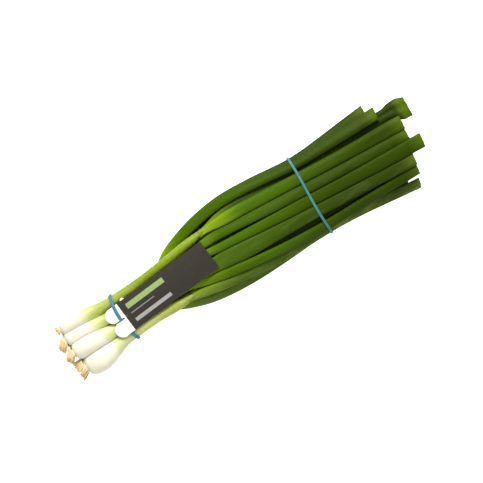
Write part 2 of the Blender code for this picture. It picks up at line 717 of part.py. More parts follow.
def stem(strands, row, finish):
    """A bulb and its pale stem: a closed base at the roots and an open cup at the collar."""
    onion = ONIONS[row]
    span = onion.bulb_at - onion.base
    near_base = [onion.base + span * share for share in BASE_RING_SHARES]
    places = near_base + [s for s in STATIONS if onion.bulb_at - 0.5 < s <= onion.collar]
    bm = bmesh.new()
    verts = None
    for s in places:
        t, z = strands.section_at(row, s)[:2]
        radius = float(stem_radius(onion, s))
        slant = COLLAR_SLANT if s == onion.collar else 0.0
        points = section_points(s, t, z, radius * float(stem_flat(onion, s)), radius, 0.0, STEM_SIDES, slant)
        if verts is None:
            verts = ring(bm, points)
            close_ring(bm, verts)
        else:
            verts = extrude_ring(bm, verts, points)
    inner = onion.collar_radius - COLLAR_WALL
    inner_wide = onion.collar_radius * onion.collar_flat - COLLAR_WALL
    for s, slant in ((onion.collar, COLLAR_SLANT), (onion.collar - COLLAR_DEPTH, 0.0)):
        t, z = strands.section_at(row, s)[:2]
        verts = extrude_ring(bm, verts, section_points(s, t, z, inner_wide, inner, 0.0, STEM_SIDES, slant))
    close_ring(bm, verts)
    return finish_object(bm, f"onion_{onion.name}_shank", finish)


def leaf(strands, k, number, rng, finish):
    """A hollow flattened leaf from its place in the collar to its open cut end."""
    row = len(ONIONS) + k
    onion = onion_named(LEAVES[k].onion)
    end = LEAVES[k].end
    column = station_index(onion.collar)
    t_dir, z_dir = (
        (v[ONIONS.index(onion), column] - v[ONIONS.index(onion), column - 1])
        / (STATIONS[column] - STATIONS[column - 1]) for v in (strands.t, strands.z)
    )
    first_free, last_free = onion.collar + LEAF_CLEAR_OF_COLLAR, end - LEAF_CLEAR_OF_END
    places = [s for s in STATIONS if first_free < s < last_free] + [end]
    bm = bmesh.new()
    verts = None
    for step in (-COLLAR_DEPTH + GAP, LEAF_PAST_COLLAR):
        points = section_points(
            onion.collar + step, strands.t[row, column] + t_dir * step, strands.z[row, column] + z_dir * step,
            strands.stack_wide[k], strands.stack_thick[k], 0.0, LEAF_SIDES)
        if verts is None:
            verts = ring(bm, points)
            close_ring(bm, verts)
        else:
            verts = extrude_ring(bm, verts, points)
    slant = rng.uniform(-LEAF_CUT_SLANT, LEAF_CUT_SLANT)
    for s in places:
        points = section_points(s, *strands.section_at(row, s), LEAF_SIDES, slant if s == end else 0.0)
        verts = extrude_ring(bm, verts, points)
    for s, cut in ((end, slant), (end - LEAF_RECESS, 0.0)):
        t, z, wide, thick, tilt = strands.section_at(row, s)
        points = section_points(s, t, z, wide - LEAF_WALL, thick - LEAF_WALL, tilt, LEAF_SIDES, cut)
        verts = extrude_ring(bm, verts, points)
    close_ring(bm, verts)
    return finish_object(bm, f"onion_{onion.name}_leaf_{number}", finish)


def root_strand(start, direction, length, radius, bend):
    """One short root as a tapered three-sided tube that starts inside the root plate."""
    bm = bmesh.new()
    side = direction.orthogonal().normalized()
    other = direction.cross(side)
    verts = None
    for share, size in ROOT_RINGS:
        middle = start + direction * length * share + bend * share**2
        points = []
        for k in range(ROOT_SIDES):
            angle = 2.0 * math.pi * k / ROOT_SIDES
            points.append(middle + (side * math.cos(angle) + other * math.sin(angle)) * radius * size)
        if verts is None:
            verts = ring(bm, points)
            close_ring(bm, verts)
        else:
            verts = extrude_ring(bm, verts, points)
    close_ring(bm, verts)
    return bm


def roots(strands, row, rng, finish):
    """The root plate and its trimmed roots, joined as one solid."""
    onion = ONIONS[row]
    t, z = strands.section_at(row, onion.base)[:2]
    radius = float(stem_radius(onion, onion.base)) * ROOT_PLATE_SHARE
    bm = bmesh.new()
    face = onion.base - GAP
    verts = ring(bm, section_points(face, t, z, radius, radius, 0.0, STEM_SIDES))
    close_ring(bm, verts)
    for step, size in ROOT_PLATE_RINGS:
        back = face - ROOT_PLATE_THICKNESS * step
        narrow = radius * size
        verts = extrude_ring(bm, verts, section_points(back, t, z, narrow, narrow, 0.0, STEM_SIDES))
    close_ring(bm, verts)
    plate = finish_object(bm, f"onion_{onion.name}_roots", finish)
    group = bpy.data.collections.new(f"roots_{onion.name}")
    bpy.context.scene.collection.children.link(group)
    lean = Vector((0.0, rng.uniform(-TUFT_SIDE_LEAN, TUFT_SIDE_LEAN), rng.uniform(*TUFT_UPRIGHT_LEAN)))
    for k in range(ROOTS_PER_ONION):
        angle = k * GOLDEN_ANGLE + row
        reach = radius * ROOTS_OVER * math.sqrt((k + 0.5) / ROOTS_PER_ONION)
        out = Vector((0.0, math.cos(angle), math.sin(angle)))
        start = Vector((face - ROOT_PLATE_THICKNESS * 0.5, t, z)) + out * reach
        splay = out * rng.uniform(*ROOT_SPLAY)
        direction = (Vector((-1.0, 0.0, 0.0)) + splay + lean * TUFT_FOLLOWS).normalized()
        length = min(rng.uniform(*ROOT_LENGTHS), start.x - 0.5)
        droop = Vector((0.0, rng.uniform(-ROOT_SIDE_BEND, ROOT_SIDE_BEND), rng.uniform(*ROOT_UPRIGHT_BEND)))
        tip = start.z + direction.z * length + droop.z
        droop.z += max(0.0, ROOT_TIP_CLEARANCE - tip)
        strand = root_strand(start, direction, length, ROOT_RADIUS * rng.uniform(*ROOT_SIZES), droop)
        piece = finish_object(strand, f"root_{onion.name}_{k}", finish)
        bpy.context.scene.collection.objects.unlink(piece)
        group.objects.link(piece)
    union = plate.modifiers.new("union", "BOOLEAN")
    union.operation = "UNION"
    union.operand_type = "COLLECTION"
    union.collection = group
    union.solver = "EXACT"
    bpy.context.view_layer.update()
    joined = bpy.data.meshes.new_from_object(plate.evaluated_get(bpy.context.evaluated_depsgraph_get()))
    plate.modifiers.clear()
    plate.data = joined
    for piece in list(group.objects):
        bpy.data.objects.remove(piece, do_unlink=True)
    bpy.data.collections.remove(group)
    return plate


# Bands

def hull(points):
    """The convex outline round (t, z) points, anticlockwise."""
    points = sorted(set((round(float(t), 5), round(float(z), 5)) for t, z in points))
    halves = []
    for walk in (points, points[::-1]):
        chain = []
        for point in walk:
            while len(chain) > 1 and cross(chain[-2], chain[-1], point) <= 0:
                chain.pop()
            chain.append(point)
        halves.append(chain[:-1])
    return np.array(halves[0] + halves[1])


def cross(origin, a, b):
    return (a[0] - origin[0]) * (b[1] - origin[1]) - (a[1] - origin[1]) * (b[0] - origin[0])


def grown(outline, distance, corners=5):
    """An outline's points pushed out by a distance, with round corners."""
    angles = np.linspace(0.0, 2.0 * math.pi, 8 * corners, endpoint=False)
    circle = np.stack([np.cos(angles), np.sin(angles)], -1) * distance
    return hull((outline[:, None, :] + circle[None]).reshape(-1, 2))


def even_outline(outline, count):
    """The same closed outline with evenly spread points, starting at the middle of its underside."""
    start = np.argmin(outline[:, 1] + np.abs(outline[:, 0]) * 0.001)
    closed = np.vstack([np.roll(outline, -start, axis=0), outline[start]])
    steps = np.concatenate([[0.0], np.cumsum(np.linalg.norm(np.diff(closed, axis=0), axis=1))])
    where = np.linspace(0.0, steps[-1], count, endpoint=False)
    return np.stack([np.interp(where, steps, closed[:, k]) for k in range(2)], -1)


def strand_outline(strands, places, rows):
    """All section points of the given strands near some places along the bunch."""
    found = []
    for s in places:
        for row in rows:
            t, z, wide, thick, tilt = strands.section_at(row, s)
            found += [(p.y, p.z) for p in section_points(s, t, z, wide, thick, tilt, 32)]
    return np.array(found)


def band_object(name, inner, thickness, width, middle, bow, count, finish):
    """A flat rubber band round an outline. Its middle line bows along the bunch towards the sides."""
    outer = even_outline(grown(inner, thickness), count)
    normal = np.roll(outer, 1, axis=0) - np.roll(outer, -1, axis=0)
    normal = np.stack([-normal[:, 1], normal[:, 0]], -1)
    normal /= np.linalg.norm(normal, axis=1)[:, None]
    inside = outer - normal * thickness
    half = width / 2.0
    soft = thickness * BAND_SOFT_EDGE
    loops = [(outer, -half + soft), (outer, half - soft), (outer - normal * soft, half),
             (inside, half), (inside, -half), (outer - normal * soft, -half)]
    bm = bmesh.new()
    verts = None
    first = None
    for outline, shift in loops:
        points = [Vector((middle + bow(t) + shift, t, z)) for t, z in outline]
        if verts is None:
            verts = first = ring(bm, points)
        else:
            verts = extrude_ring(bm, verts, points)
    for k in range(count):
        after = (k + 1) % count
        bm.faces.new((verts[k], verts[after], first[after], first[k]))
    return finish_object(bm, name, finish, 60.0)


def lower_band_bow(t):
    return LOWER_BOW * (abs(t) / LOWER_BOW_OVER) ** 2 - LOWER_BOW_BACK


def upper_band_bow(t):
    return (UPPER_SWAY * math.sin(t / UPPER_SWAY_OVER)
            + UPPER_BOW * (abs(t) / UPPER_BOW_OVER) ** 2 - UPPER_BOW_BACK)


def lower_band(strands, finish):
    """The band round the stems. It runs over the tag's upper lobe and under its lower one."""
    rows = range(len(ONIONS))
    places = (LOWER_BAND_S - LOWER_BAND_WOUND, LOWER_BAND_S, LOWER_BAND_S + LOWER_BAND_WOUND)
    stems = strand_outline(strands, places, rows)
    middle = TAG_MIDDLE_T + (LOWER_BAND_S - TAG_START_S) * math.tan(TAG_TURN)
    lobe = np.linspace(middle + TAG_SLIT_HALF, middle + TAG_HALF_WIDTH, 8)
    over = np.array([(t, tag_underside(LOWER_BAND_S, t) + TAG_THICKNESS + GAP * 0.5) for t in lobe])
    outline = grown(hull(np.vstack([stems, over])), GAP)
    return outline, band_object("band_lower", outline, BAND_THICKNESS, LOWER_BAND_WIDTH,
                                LOWER_BAND_S, lower_band_bow, LOWER_BAND_STEPS, finish)


def upper_band(strands, finish):
    """The band round the leaves. The bunch presses it flat on the table."""
    rows = range(len(ONIONS), len(ONIONS) + len(LEAVES))
    places = (UPPER_BAND_S - UPPER_BAND_WOUND, UPPER_BAND_S, UPPER_BAND_S + UPPER_BAND_WOUND)
    leaves = strand_outline(strands, places, rows)
    flat = [(side * BAND_FLAT_HALF, BAND_THICKNESS + GAP) for side in (-1.0, 1.0)]
    outline = grown(hull(np.vstack([leaves, flat])), GAP)
    return band_object("band_upper", outline, BAND_THICKNESS, UPPER_BAND_WIDTH,
                       UPPER_BAND_S, upper_band_bow, UPPER_BAND_STEPS, finish)


# Tag

def tag_outline():
    """The tag's edge as (length along it, distance across it), with two lobes and a slit between them."""
    lobe_half = (TAG_HALF_WIDTH - TAG_SLIT_HALF) / 2.0
    points = [(TAG_LENGTH, -TAG_HALF_WIDTH), (TAG_LENGTH, TAG_HALF_WIDTH)]
    nub = TAG_LOBE_LENGTH + TAG_NUB_AFTER_LOBE
    points += [
        (nub + TAG_NUB_LENGTH, TAG_HALF_WIDTH),
        (nub + TAG_NUB_LENGTH * 0.7, TAG_HALF_WIDTH + TAG_NUB_OUT),
        (nub, TAG_HALF_WIDTH + TAG_NUB_OUT),
        (nub - TAG_NUB_LENGTH * 0.2, TAG_HALF_WIDTH),
    ]
    for sign in (1.0, -1.0):
        middle = sign * (TAG_SLIT_HALF + lobe_half)
        angles = np.linspace(90.0, 270.0, 9)
        for degrees in angles:
            angle = math.radians(degrees)
            points.append((lobe_half * (1.0 + math.cos(angle)), middle + lobe_half * math.sin(angle)))
        if sign > 0:
            points += [(TAG_LOBE_LENGTH, TAG_SLIT_HALF), (TAG_LOBE_LENGTH, -TAG_SLIT_HALF)]
    return points


def tag(band_outline, finish):
    """The card tag, bent over the stems, with its lower lobe lifted over the band."""
    top = grown(band_outline, BAND_THICKNESS)
    top = top[top[:, 1] > TAG_HEIGHT * 0.6]
    top = top[np.argsort(top[:, 0])]

    def underside(s, t, length, across):
        base = tag_underside(s, t)
        over_band = float(np.interp(t, top[:, 0], top[:, 1])) + GAP
        from_band = abs(s - LOWER_BAND_S - lower_band_bow(t))
        nearness = max(0.0, 1.0 - max(0.0, from_band - LOWER_BAND_WIDTH * TAG_RISE_NEAR) / TAG_RISE_OVER)
        nearness = nearness * nearness * (3.0 - 2.0 * nearness)
        if across < 0 and over_band > base:
            return base + (over_band - base) * nearness
        return base

    bm = bmesh.new()
    verts = [bm.verts.new((length, across, 0.0)) for length, across in tag_outline()]
    bm.faces.new(verts)
    for length in TAG_CUTS_ALONG:
        bmesh.ops.bisect_plane(bm, geom=bm.verts[:] + bm.edges[:] + bm.faces[:],
                               plane_co=(length, 0.0, 0.0), plane_no=(1.0, 0.0, 0.0))
    for across in TAG_CUTS_ACROSS:
        bmesh.ops.bisect_plane(bm, geom=bm.verts[:] + bm.edges[:] + bm.faces[:],
                               plane_co=(0.0, across, 0.0), plane_no=(0.0, 1.0, 0.0))
    raised = bmesh.ops.extrude_face_region(bm, geom=bm.faces[:])["geom"]
    upper = {item for item in raised if isinstance(item, bmesh.types.BMVert)}
    for vert in bm.verts:
        length, across = vert.co.x, vert.co.y
        s = TAG_START_S + length * math.cos(TAG_TURN) - across * math.sin(TAG_TURN)
        t = TAG_MIDDLE_T + length * math.sin(TAG_TURN) + across * math.cos(TAG_TURN)
        lift = TAG_THICKNESS if vert in upper else 0.0
        vert.co = Vector((s, t, underside(s, t, length, across) + lift)) * METRES
    return finish_object(bm, "label_tag", finish)


def stand_at_origin(objects):
    """Move every mesh so that the middle of the bunch's footprint is the origin, on the table."""
    corners = np.array([v.co[:] for obj in objects for v in obj.data.vertices])
    low, high = corners.min(0), corners.max(0)
    shift = Vector((-(low[0] + high[0]) / 2.0, -(low[1] + high[1]) / 2.0, -low[2]))
    bunch = bpy.data.objects.new("bunch", None)
    bpy.context.scene.collection.objects.link(bunch)
    for obj in objects:
        obj.data.transform(Matrix.Translation(shift))
        obj.parent = bunch


def main():
    clear_scene()
    rng = np.random.default_rng(SEED)
    stem_finish = material("pale stem", STEM_COLOUR, 0.42)
    leaf_finish = material("green leaf", LEAF_COLOUR, 0.45)
    root_finish = material("dry root", ROOT_COLOUR, 0.85)
    strands = Strands()
    strands.pack()
    objects = []
    for row, onion in enumerate(ONIONS):
        objects.append(stem(strands, row, stem_finish))
        objects.append(roots(strands, row, rng, root_finish))
        mine = [k for k, item in enumerate(LEAVES) if item.onion == onion.name]
        for number, k in enumerate(mine, start=1):
            objects.append(leaf(strands, k, number, rng, leaf_finish))
    outline, band = lower_band(strands, material("lower rubber band", LOWER_BAND_COLOUR, 0.6))
    objects.append(band)
    objects.append(upper_band(strands, material("upper rubber band", UPPER_BAND_COLOUR, 0.6)))
    objects.append(tag(outline, material("printed card", TAG_COLOUR, 0.5)))
    stand_at_origin(objects)


main()
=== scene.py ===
import math
import random

import bmesh
import bpy
import numpy as np
from mathutils import Matrix, Vector, noise
from mathutils.bvhtree import BVHTree


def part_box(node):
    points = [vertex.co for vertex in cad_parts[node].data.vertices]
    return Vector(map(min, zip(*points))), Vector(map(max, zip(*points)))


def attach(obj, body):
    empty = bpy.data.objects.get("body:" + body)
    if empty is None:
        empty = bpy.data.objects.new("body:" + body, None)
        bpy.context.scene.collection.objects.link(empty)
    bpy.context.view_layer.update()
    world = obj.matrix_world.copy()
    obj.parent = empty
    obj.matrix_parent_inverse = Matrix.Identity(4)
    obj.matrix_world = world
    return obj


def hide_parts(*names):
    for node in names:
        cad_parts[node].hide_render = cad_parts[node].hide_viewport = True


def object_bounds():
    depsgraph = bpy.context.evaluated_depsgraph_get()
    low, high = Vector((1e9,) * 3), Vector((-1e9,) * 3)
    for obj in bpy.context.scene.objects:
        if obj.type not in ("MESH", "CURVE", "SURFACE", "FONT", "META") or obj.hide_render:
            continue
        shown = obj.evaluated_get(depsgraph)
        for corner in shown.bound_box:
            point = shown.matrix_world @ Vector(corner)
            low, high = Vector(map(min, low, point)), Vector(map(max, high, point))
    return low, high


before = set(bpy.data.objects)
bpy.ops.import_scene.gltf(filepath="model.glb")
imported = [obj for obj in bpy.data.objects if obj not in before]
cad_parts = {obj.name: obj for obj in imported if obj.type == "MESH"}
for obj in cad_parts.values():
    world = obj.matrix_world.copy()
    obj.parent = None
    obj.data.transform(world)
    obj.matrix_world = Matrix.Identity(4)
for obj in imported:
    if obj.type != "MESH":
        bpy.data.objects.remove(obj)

# Looks for a bunch of spring onions. Each stem and leaf is a smooth tube drawn along its solid, with
# hollow cut ends, veins and a waxy bloom that is partly painted sheen, painted shade on the leaves under
# others and painted highlights on the collars and the bent tip. The roots, bands and tag are finer pieces
# in the same places.

bl_info = {
    "name": "Spring Onion Bunch",
    "version": (1, 0, 0),
    "blender": (4, 5, 0),
    "location": "3D View > Sidebar > Spring Onions",
    "description": "Dresses a bunch of spring onions with leaves, roots, rubber bands and a card tag",
    "category": "Object",
}

MM = 0.001
SOLID_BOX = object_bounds()
STEM_NAMES = "abcdefg"
LEAF_COUNTS = {"a": 3, "b": 3, "c": 3, "d": 3, "e": 4, "f": 4, "g": 4}

# A solid's section is a polygon inside the round section that it stands for
LEAF_SIDES = 8
STEM_SIDES = 12

# How far a thin rim is rounded at its lip
ROUND_LIP = 0.12 * MM


# Settings

def colour_setting(name, description, default):
    """A colour that a user may change."""
    return bpy.props.FloatVectorProperty(
        name=name, description=description, subtype="COLOR_GAMMA", default=default, min=0.0, max=1.0)


def length_setting(name, description, default, least=0.0):
    """A length that a user may change, and the least that it may be."""
    return bpy.props.FloatProperty(
        name=name, description=description, unit="LENGTH", default=default, min=least)


class StemSettings(bpy.types.PropertyGroup):
    """Sizes and colours of the bulbs and the pale stems."""

    ring_step: length_setting("Ring Step", "Distance between rings along a stem", 2.0 * MM, 0.5 * MM)
    sides: bpy.props.IntProperty(name="Sides", description="Faces round a stem", default=48, min=12)
    rim_wall: length_setting("Rim Wall", "Thickness of the sheath at its open collar", 0.25 * MM, 0.1 * MM)
    cling: length_setting("Cling", "How far the sheath draws in round the leaves at its collar", 0.65 * MM)
    sheath_step: length_setting(
        "Sheath Step", "Height of the edge where one sheath wraps over another", 0.22 * MM)
    plump: length_setting(
        "Plump", "How much wider than its solid a bulb is drawn, so that bulbs touch", 1.05 * MM)
    blunt: length_setting(
        "Blunt", "How much wider than its solid a bulb is drawn at its root end", 1.1 * MM)
    bulb: colour_setting("Bulb", "Colour of the bulb", (0.918, 0.905, 0.825))
    neck: colour_setting("Neck", "Colour just above the bulb", (0.82, 0.845, 0.56))
    pale: colour_setting("Pale Stem", "Colour of the pale half of the stem", (0.665, 0.715, 0.31))
    green: colour_setting("Green Stem", "Colour of the stem near its collar", (0.505, 0.585, 0.08))


class LeafSettings(bpy.types.PropertyGroup):
    """Sizes and colours of the leaves."""

    ring_step: length_setting("Ring Step", "Distance between rings along a leaf", 2.5 * MM, 0.5 * MM)
    sides: bpy.props.IntProperty(name="Sides", description="Faces round a leaf", default=40, min=8)
    wall: length_setting("Wall", "Thickness of the leaf wall at its cut end", 0.55 * MM, 0.1 * MM)
    hollow: length_setting("Hollow Depth", "How far the cut end is open", 22.0 * MM, 1.0 * MM)
    vein_depth: length_setting("Vein Depth", "Height of the lengthwise veins", 0.05 * MM)
    young: colour_setting("Young", "Colour where a leaf leaves its collar", (0.455, 0.555, 0.075))
    full: colour_setting("Full Grown", "Colour of the middle of a leaf", (0.210, 0.314, 0.004))
    # The colour of the darkest leaves, and also painted shade: the leaves that lie under others are drawn
    # in it to darken the gaps between the top leaves
    dark_and_shaded: colour_setting("Dark", "Colour of the darkest leaves", (0.088, 0.160, 0.004))
    # The leaves' own waxy bloom. Laid thick on d_1 and g_1 in this warm grey-yellow, it is also painted
    # sheen
    bloom_and_sheen: colour_setting("Bloom", "Colour of the waxy bloom", (0.41, 0.475, 0.23))
    cut: colour_setting("Cut", "Colour of the cut rim and the inner wall", (0.46, 0.55, 0.20))


class RootSettings(bpy.types.PropertyGroup):
    """Number, size and colour of the trimmed roots."""

    count: bpy.props.IntProperty(name="Roots", description="Roots on each onion", default=190, min=1)
    radius: length_setting("Radius", "Radius of a root where it leaves the plate", 0.48 * MM, 0.1 * MM)
    root: colour_setting("Root", "Colour of the roots", (0.94, 0.885, 0.73))
    tip: colour_setting("Tip", "Colour of the dried root tips", (0.90, 0.79, 0.58))


class BandSettings(bpy.types.PropertyGroup):
    """Size and colours of the two rubber bands."""

    steps: bpy.props.IntProperty(name="Steps", description="Steps round a band", default=180, min=24)
    lower: colour_setting("Lower Band", "Colour of the band on the stems", (0.235, 0.47, 0.55))
    upper: colour_setting("Upper Band", "Colour of the band on the leaves", (0.265, 0.475, 0.48))


class TagSettings(bpy.types.PropertyGroup):
    """Thickness and colours of the card tag."""

    thickness: length_setting("Thickness", "Thickness of the card", 0.45 * MM, 0.1 * MM)
    card: colour_setting("Card", "Colour of the bare card", (0.98, 0.98, 0.96))
    print_colour: colour_setting("Print", "Colour of the printed area", (0.186, 0.165, 0.138))
    accent: colour_setting("Accent", "Colour of the plain bar", (0.57, 0.65, 0.40))


class StageSettings(bpy.types.PropertyGroup):
    """Camera, lights and floor."""

    lens: bpy.props.FloatProperty(
        name="Lens", description="Focal length in millimetres", default=200.0, min=20.0)
    view_width: length_setting("View Width", "Width of the picture at the object", 384.2 * MM, 0.01)
    turn: bpy.props.FloatProperty(
        name="Turn", description="How far the bunch points up to the right in the picture",
        default=math.radians(32.895), subtype="ANGLE")
    floor: colour_setting("Floor", "Colour of the floor", (0.97, 0.97, 0.97))


# Small helpers for materials

def linear(colour):
    """An sRGB colour as linear red, green, blue and alpha."""
    parts = [c / 12.92 if c <= 0.04045 else ((c + 0.055) / 1.055) ** 2.4 for c in colour[:3]]
    return (*parts, 1.0)


def put(tree, kind, **values):
    """A new node with its properties set."""
    node = tree.nodes.new(kind)
    for key, value in values.items():
        setattr(node, key, value)
    return node


def feed(tree, socket, value):
    """Link an output to a socket, or set the socket to a plain value."""
    if isinstance(value, bpy.types.NodeSocket):
        tree.links.new(value, socket)
    else:
        socket.default_value = value


def maths(tree, operation, first, second=0.0, third=0.0, clamp=False):
    """The result of one step of arithmetic."""
    node = put(tree, "ShaderNodeMath", operation=operation, use_clamp=clamp)
    for socket, value in zip(node.inputs, (first, second, third)):
        feed(tree, socket, value)
    return node.outputs[0]


def times(tree, first, second):
    return maths(tree, "MULTIPLY", first, second)


def scaled(tree, value, scale, more):
    """A value times a scale, and more added to it."""
    return maths(tree, "MULTIPLY_ADD", value, scale, more)


def between(tree, value, low, high, to_low=0.0, to_high=1.0):
    """A value mapped smoothly from one range to another."""
    node = put(tree, "ShaderNodeMapRange", interpolation_type="SMOOTHSTEP")
    for socket, number in zip(node.inputs, (value, low, high, to_low, to_high)):
        feed(tree, socket, number)
    return node.outputs[0]


def blend_colours(tree, share, first, second, mode="MIX"):
    """The first colour with a share of the second laid over it."""
    node = put(tree, "ShaderNodeMix", data_type="RGBA", blend_type=mode)
    feed(tree, node.inputs["Factor"], share)
    feed(tree, node.inputs["A"], first)
    feed(tree, node.inputs["B"], second)
    return next(out for out in node.outputs if out.type == "RGBA")


def ramp(tree, value, stops):
    """A colour ramp through (place, colour) stops."""
    node = put(tree, "ShaderNodeValToRGB")
    band = node.color_ramp
    band.elements[0].position, band.elements[0].color = stops[0]
    band.elements[1].position, band.elements[1].color = stops[-1]
    for place, colour in stops[1:-1]:
        band.elements.new(place).color = colour
    feed(tree, node.inputs["Fac"], value)
    return node.outputs["Color"]


def speckle(tree, vector, scale, detail=3.0, roughness=0.5):
    """Soft, uneven noise from 0 to 1."""
    node = put(tree, "ShaderNodeTexNoise")
    values = {"Vector": vector, "Scale": scale, "Detail": detail, "Roughness": roughness}
    for key, value in values.items():
        feed(tree, node.inputs[key], value)
    return node.outputs["Fac"]


def stretched(tree, vector, scale):
    """A place with each axis scaled on its own."""
    node = put(tree, "ShaderNodeMapping")
    feed(tree, node.inputs["Vector"], vector)
    node.inputs["Scale"].default_value = scale
    return node.outputs["Vector"]


def object_place(tree):
    return put(tree, "ShaderNodeTexCoord").outputs["Object"]


def strand_place(tree):
    """How far along its strand a point is, in metres, and how far round it, from 0 to 1."""
    layer = put(tree, "ShaderNodeUVMap", uv_map="strand")
    split = put(tree, "ShaderNodeSeparateXYZ")
    tree.links.new(layer.outputs["UV"], split.inputs[0])
    return split.outputs[0], split.outputs[1]


def painted(tree, name):
    """A number that the mesh carries at its points."""
    return put(tree, "ShaderNodeAttribute", attribute_name=name).outputs["Fac"]


def start_material(name):
    material = bpy.data.materials.new(name)
    material.use_nodes = True
    return material, material.node_tree, material.node_tree.nodes["Principled BSDF"]


def cover(tree, shader, colour, roughness, specular):
    """Give a surface its colour, its roughness and the strength of its shine."""
    feed(tree, shader.inputs["Base Color"], colour)
    feed(tree, shader.inputs["Roughness"], roughness)
    shader.inputs["Specular IOR Level"].default_value = specular


def bump_into(tree, shader, height, distance, strength=1.0):
    """Add fine relief to a surface."""
    node = put(tree, "ShaderNodeBump")
    node.inputs["Distance"].default_value = distance
    node.inputs["Strength"].default_value = strength
    feed(tree, node.inputs["Height"], height)
    tree.links.new(node.outputs["Normal"], shader.inputs["Normal"])


# Shared effects

def new_group(name, inputs, outputs):
    """An empty node group. Inputs are given with the kind of their socket, and outputs are numbers."""
    group = bpy.data.node_groups.new(name, "ShaderNodeTree")
    for label, kind in inputs.items():
        group.interface.new_socket(label, in_out="INPUT", socket_type=f"NodeSocket{kind}")
    for label in outputs:
        group.interface.new_socket(label, in_out="OUTPUT", socket_type="NodeSocketFloat")
    return group, group.nodes.new("NodeGroupInput").outputs, group.nodes.new("NodeGroupOutput").inputs


def use_group(tree, name, **values):
    """Place a shared effect in a material. The values are named after its inputs."""
    node = put(tree, "ShaderNodeGroup", node_tree=bpy.data.node_groups[name])
    for key, value in values.items():
        feed(tree, node.inputs[key], value)
    return node.outputs


def vein_group():
    """Fine lengthwise veins that waver a little and run round a stem or leaf."""
    group, given, out = new_group(
        "lengthwise_veins", {"Along": "Float", "Around": "Float", "Count": "Float"}, ("Height", "Tint"))
    turn = times(group, given["Around"], 2.0 * math.pi)
    place = put(group, "ShaderNodeCombineXYZ")
    feed(group, place.inputs[0], times(group, given["Along"], 14.0))
    feed(group, place.inputs[1], maths(group, "COSINE", turn))
    feed(group, place.inputs[2], maths(group, "SINE", turn))
    wander = speckle(group, place.outputs[0], 1.6, 2.0)
    phase = times(group, turn, given["Count"])
    phase = maths(group, "ADD", phase, times(group, wander, 5.0))
    ridges = scaled(group, maths(group, "SINE", phase), 0.5, 0.5)
    feed(group, out["Height"], ridges)
    patchy = speckle(group, place.outputs[0], 5.0)
    feed(group, out["Tint"], times(group, maths(group, "POWER", ridges, 3.0), patchy))


def bloom_and_sheen_group():
    """A waxy bloom, also laid on some leaves as painted sheen: soft streaks along the strand, rubbed off in
    places, with fine grain.
    """
    group, given, out = new_group("waxy_bloom_and_sheen", {"Vector": "Vector", "Amount": "Float"}, ("Mask", "Grain"))
    streaks = speckle(group, stretched(group, given["Vector"], (22.0, 160.0, 160.0)), 1.0, 4.0, 0.6)
    rubbed = speckle(group, stretched(group, given["Vector"], (60.0, 120.0, 120.0)), 1.0)
    grain = speckle(group, given["Vector"], 1800.0, 2.0)
    mask = between(group, scaled(group, rubbed, 0.35, streaks), 0.55, 0.85)
    mask = scaled(group, mask, 0.75, 0.25)
    feed(group, out["Mask"], maths(group, "MULTIPLY", mask, given["Amount"], clamp=True))
    feed(group, out["Grain"], grain)


def mottle_group():
    """Slow, uneven changes of tone over a plant's skin."""
    group, given, out = new_group("skin_mottle", {"Vector": "Vector", "Scale": "Float"}, ("Light", "Spots"))
    light = speckle(group, stretched(group, given["Vector"], (30.0, 140.0, 140.0)), given["Scale"], 4.0)
    spots = speckle(group, given["Vector"], 900.0, 2.0)
    feed(group, out["Light"], light)
    feed(group, out["Spots"], between(group, spots, 0.66, 0.74))


def rub_group():
    """Scuffs and dust on something handled, as a roughness change and a fine height."""
    group, given, out = new_group("handled_surface", {"Vector": "Vector"}, ("Scuff", "Height"))
    drawn = stretched(group, given["Vector"], (220.0, 320.0, 320.0))
    scuff = speckle(group, drawn, 1.0, 5.0, 0.65)
    feed(group, out["Scuff"], between(group, scuff, 0.42, 0.72))
    feed(group, out["Height"], speckle(group, given["Vector"], 2600.0))


# Materials

ROOT_DIRT = (0.62, 0.45, 0.25)
RUBBER_DUST = (0.70, 0.80, 0.84)
CARD_FIBRE = (0.80, 0.78, 0.72)
WORN_PRINT = (0.32, 0.30, 0.29)
THIN_BAR = (0.50, 0.50, 0.49)
PALE_BAR = (0.62, 0.62, 0.61)
MOULD_LINES = 18.0
WHITE = (1.0, 1.0, 1.0, 1.0)


def stem_material(settings):
    """Ivory bulb that turns pale and then fresh green towards its collar, with a painted highlight round
    the collar's lip.
    """
    material, tree, shader = start_material("spring onion stem")
    along, around = strand_place(tree)
    place = object_place(tree)
    greening = painted(tree, "greening")
    mottle = use_group(tree, "skin_mottle", Vector=place, Scale=1.2)
    veins = use_group(tree, "lengthwise_veins", Along=along, Around=around, Count=34.0)
    shifted = maths(tree, "ADD", greening, scaled(tree, mottle["Light"], 0.20, -0.10))
    shifted = scaled(tree, veins["Tint"], 0.10, shifted)
    colour = ramp(tree, shifted, [
        (0.0, linear(settings.bulb)), (0.28, linear(settings.bulb)), (0.56, linear(settings.neck)),
        (0.76, linear(settings.pale)), (1.0, linear(settings.green))])
    # Painted highlight: the collar's lip and inner wall are blended towards the pale stem colour
    rim = painted(tree, "rim")
    colour = blend_colours(tree, times(tree, rim, 0.45), colour, linear(settings.pale))
    cover(tree, shader, colour, scaled(tree, mottle["Light"], 0.25, 0.22), 0.25)
    shader.inputs["Subsurface Weight"].default_value = 0.8
    shader.inputs["Subsurface Radius"].default_value = (1.0, 0.95, 0.6)
    shader.inputs["Subsurface Scale"].default_value = 4.0 * MM
    bump_into(tree, shader, veins["Height"], 0.05 * MM, 0.7)
    return material


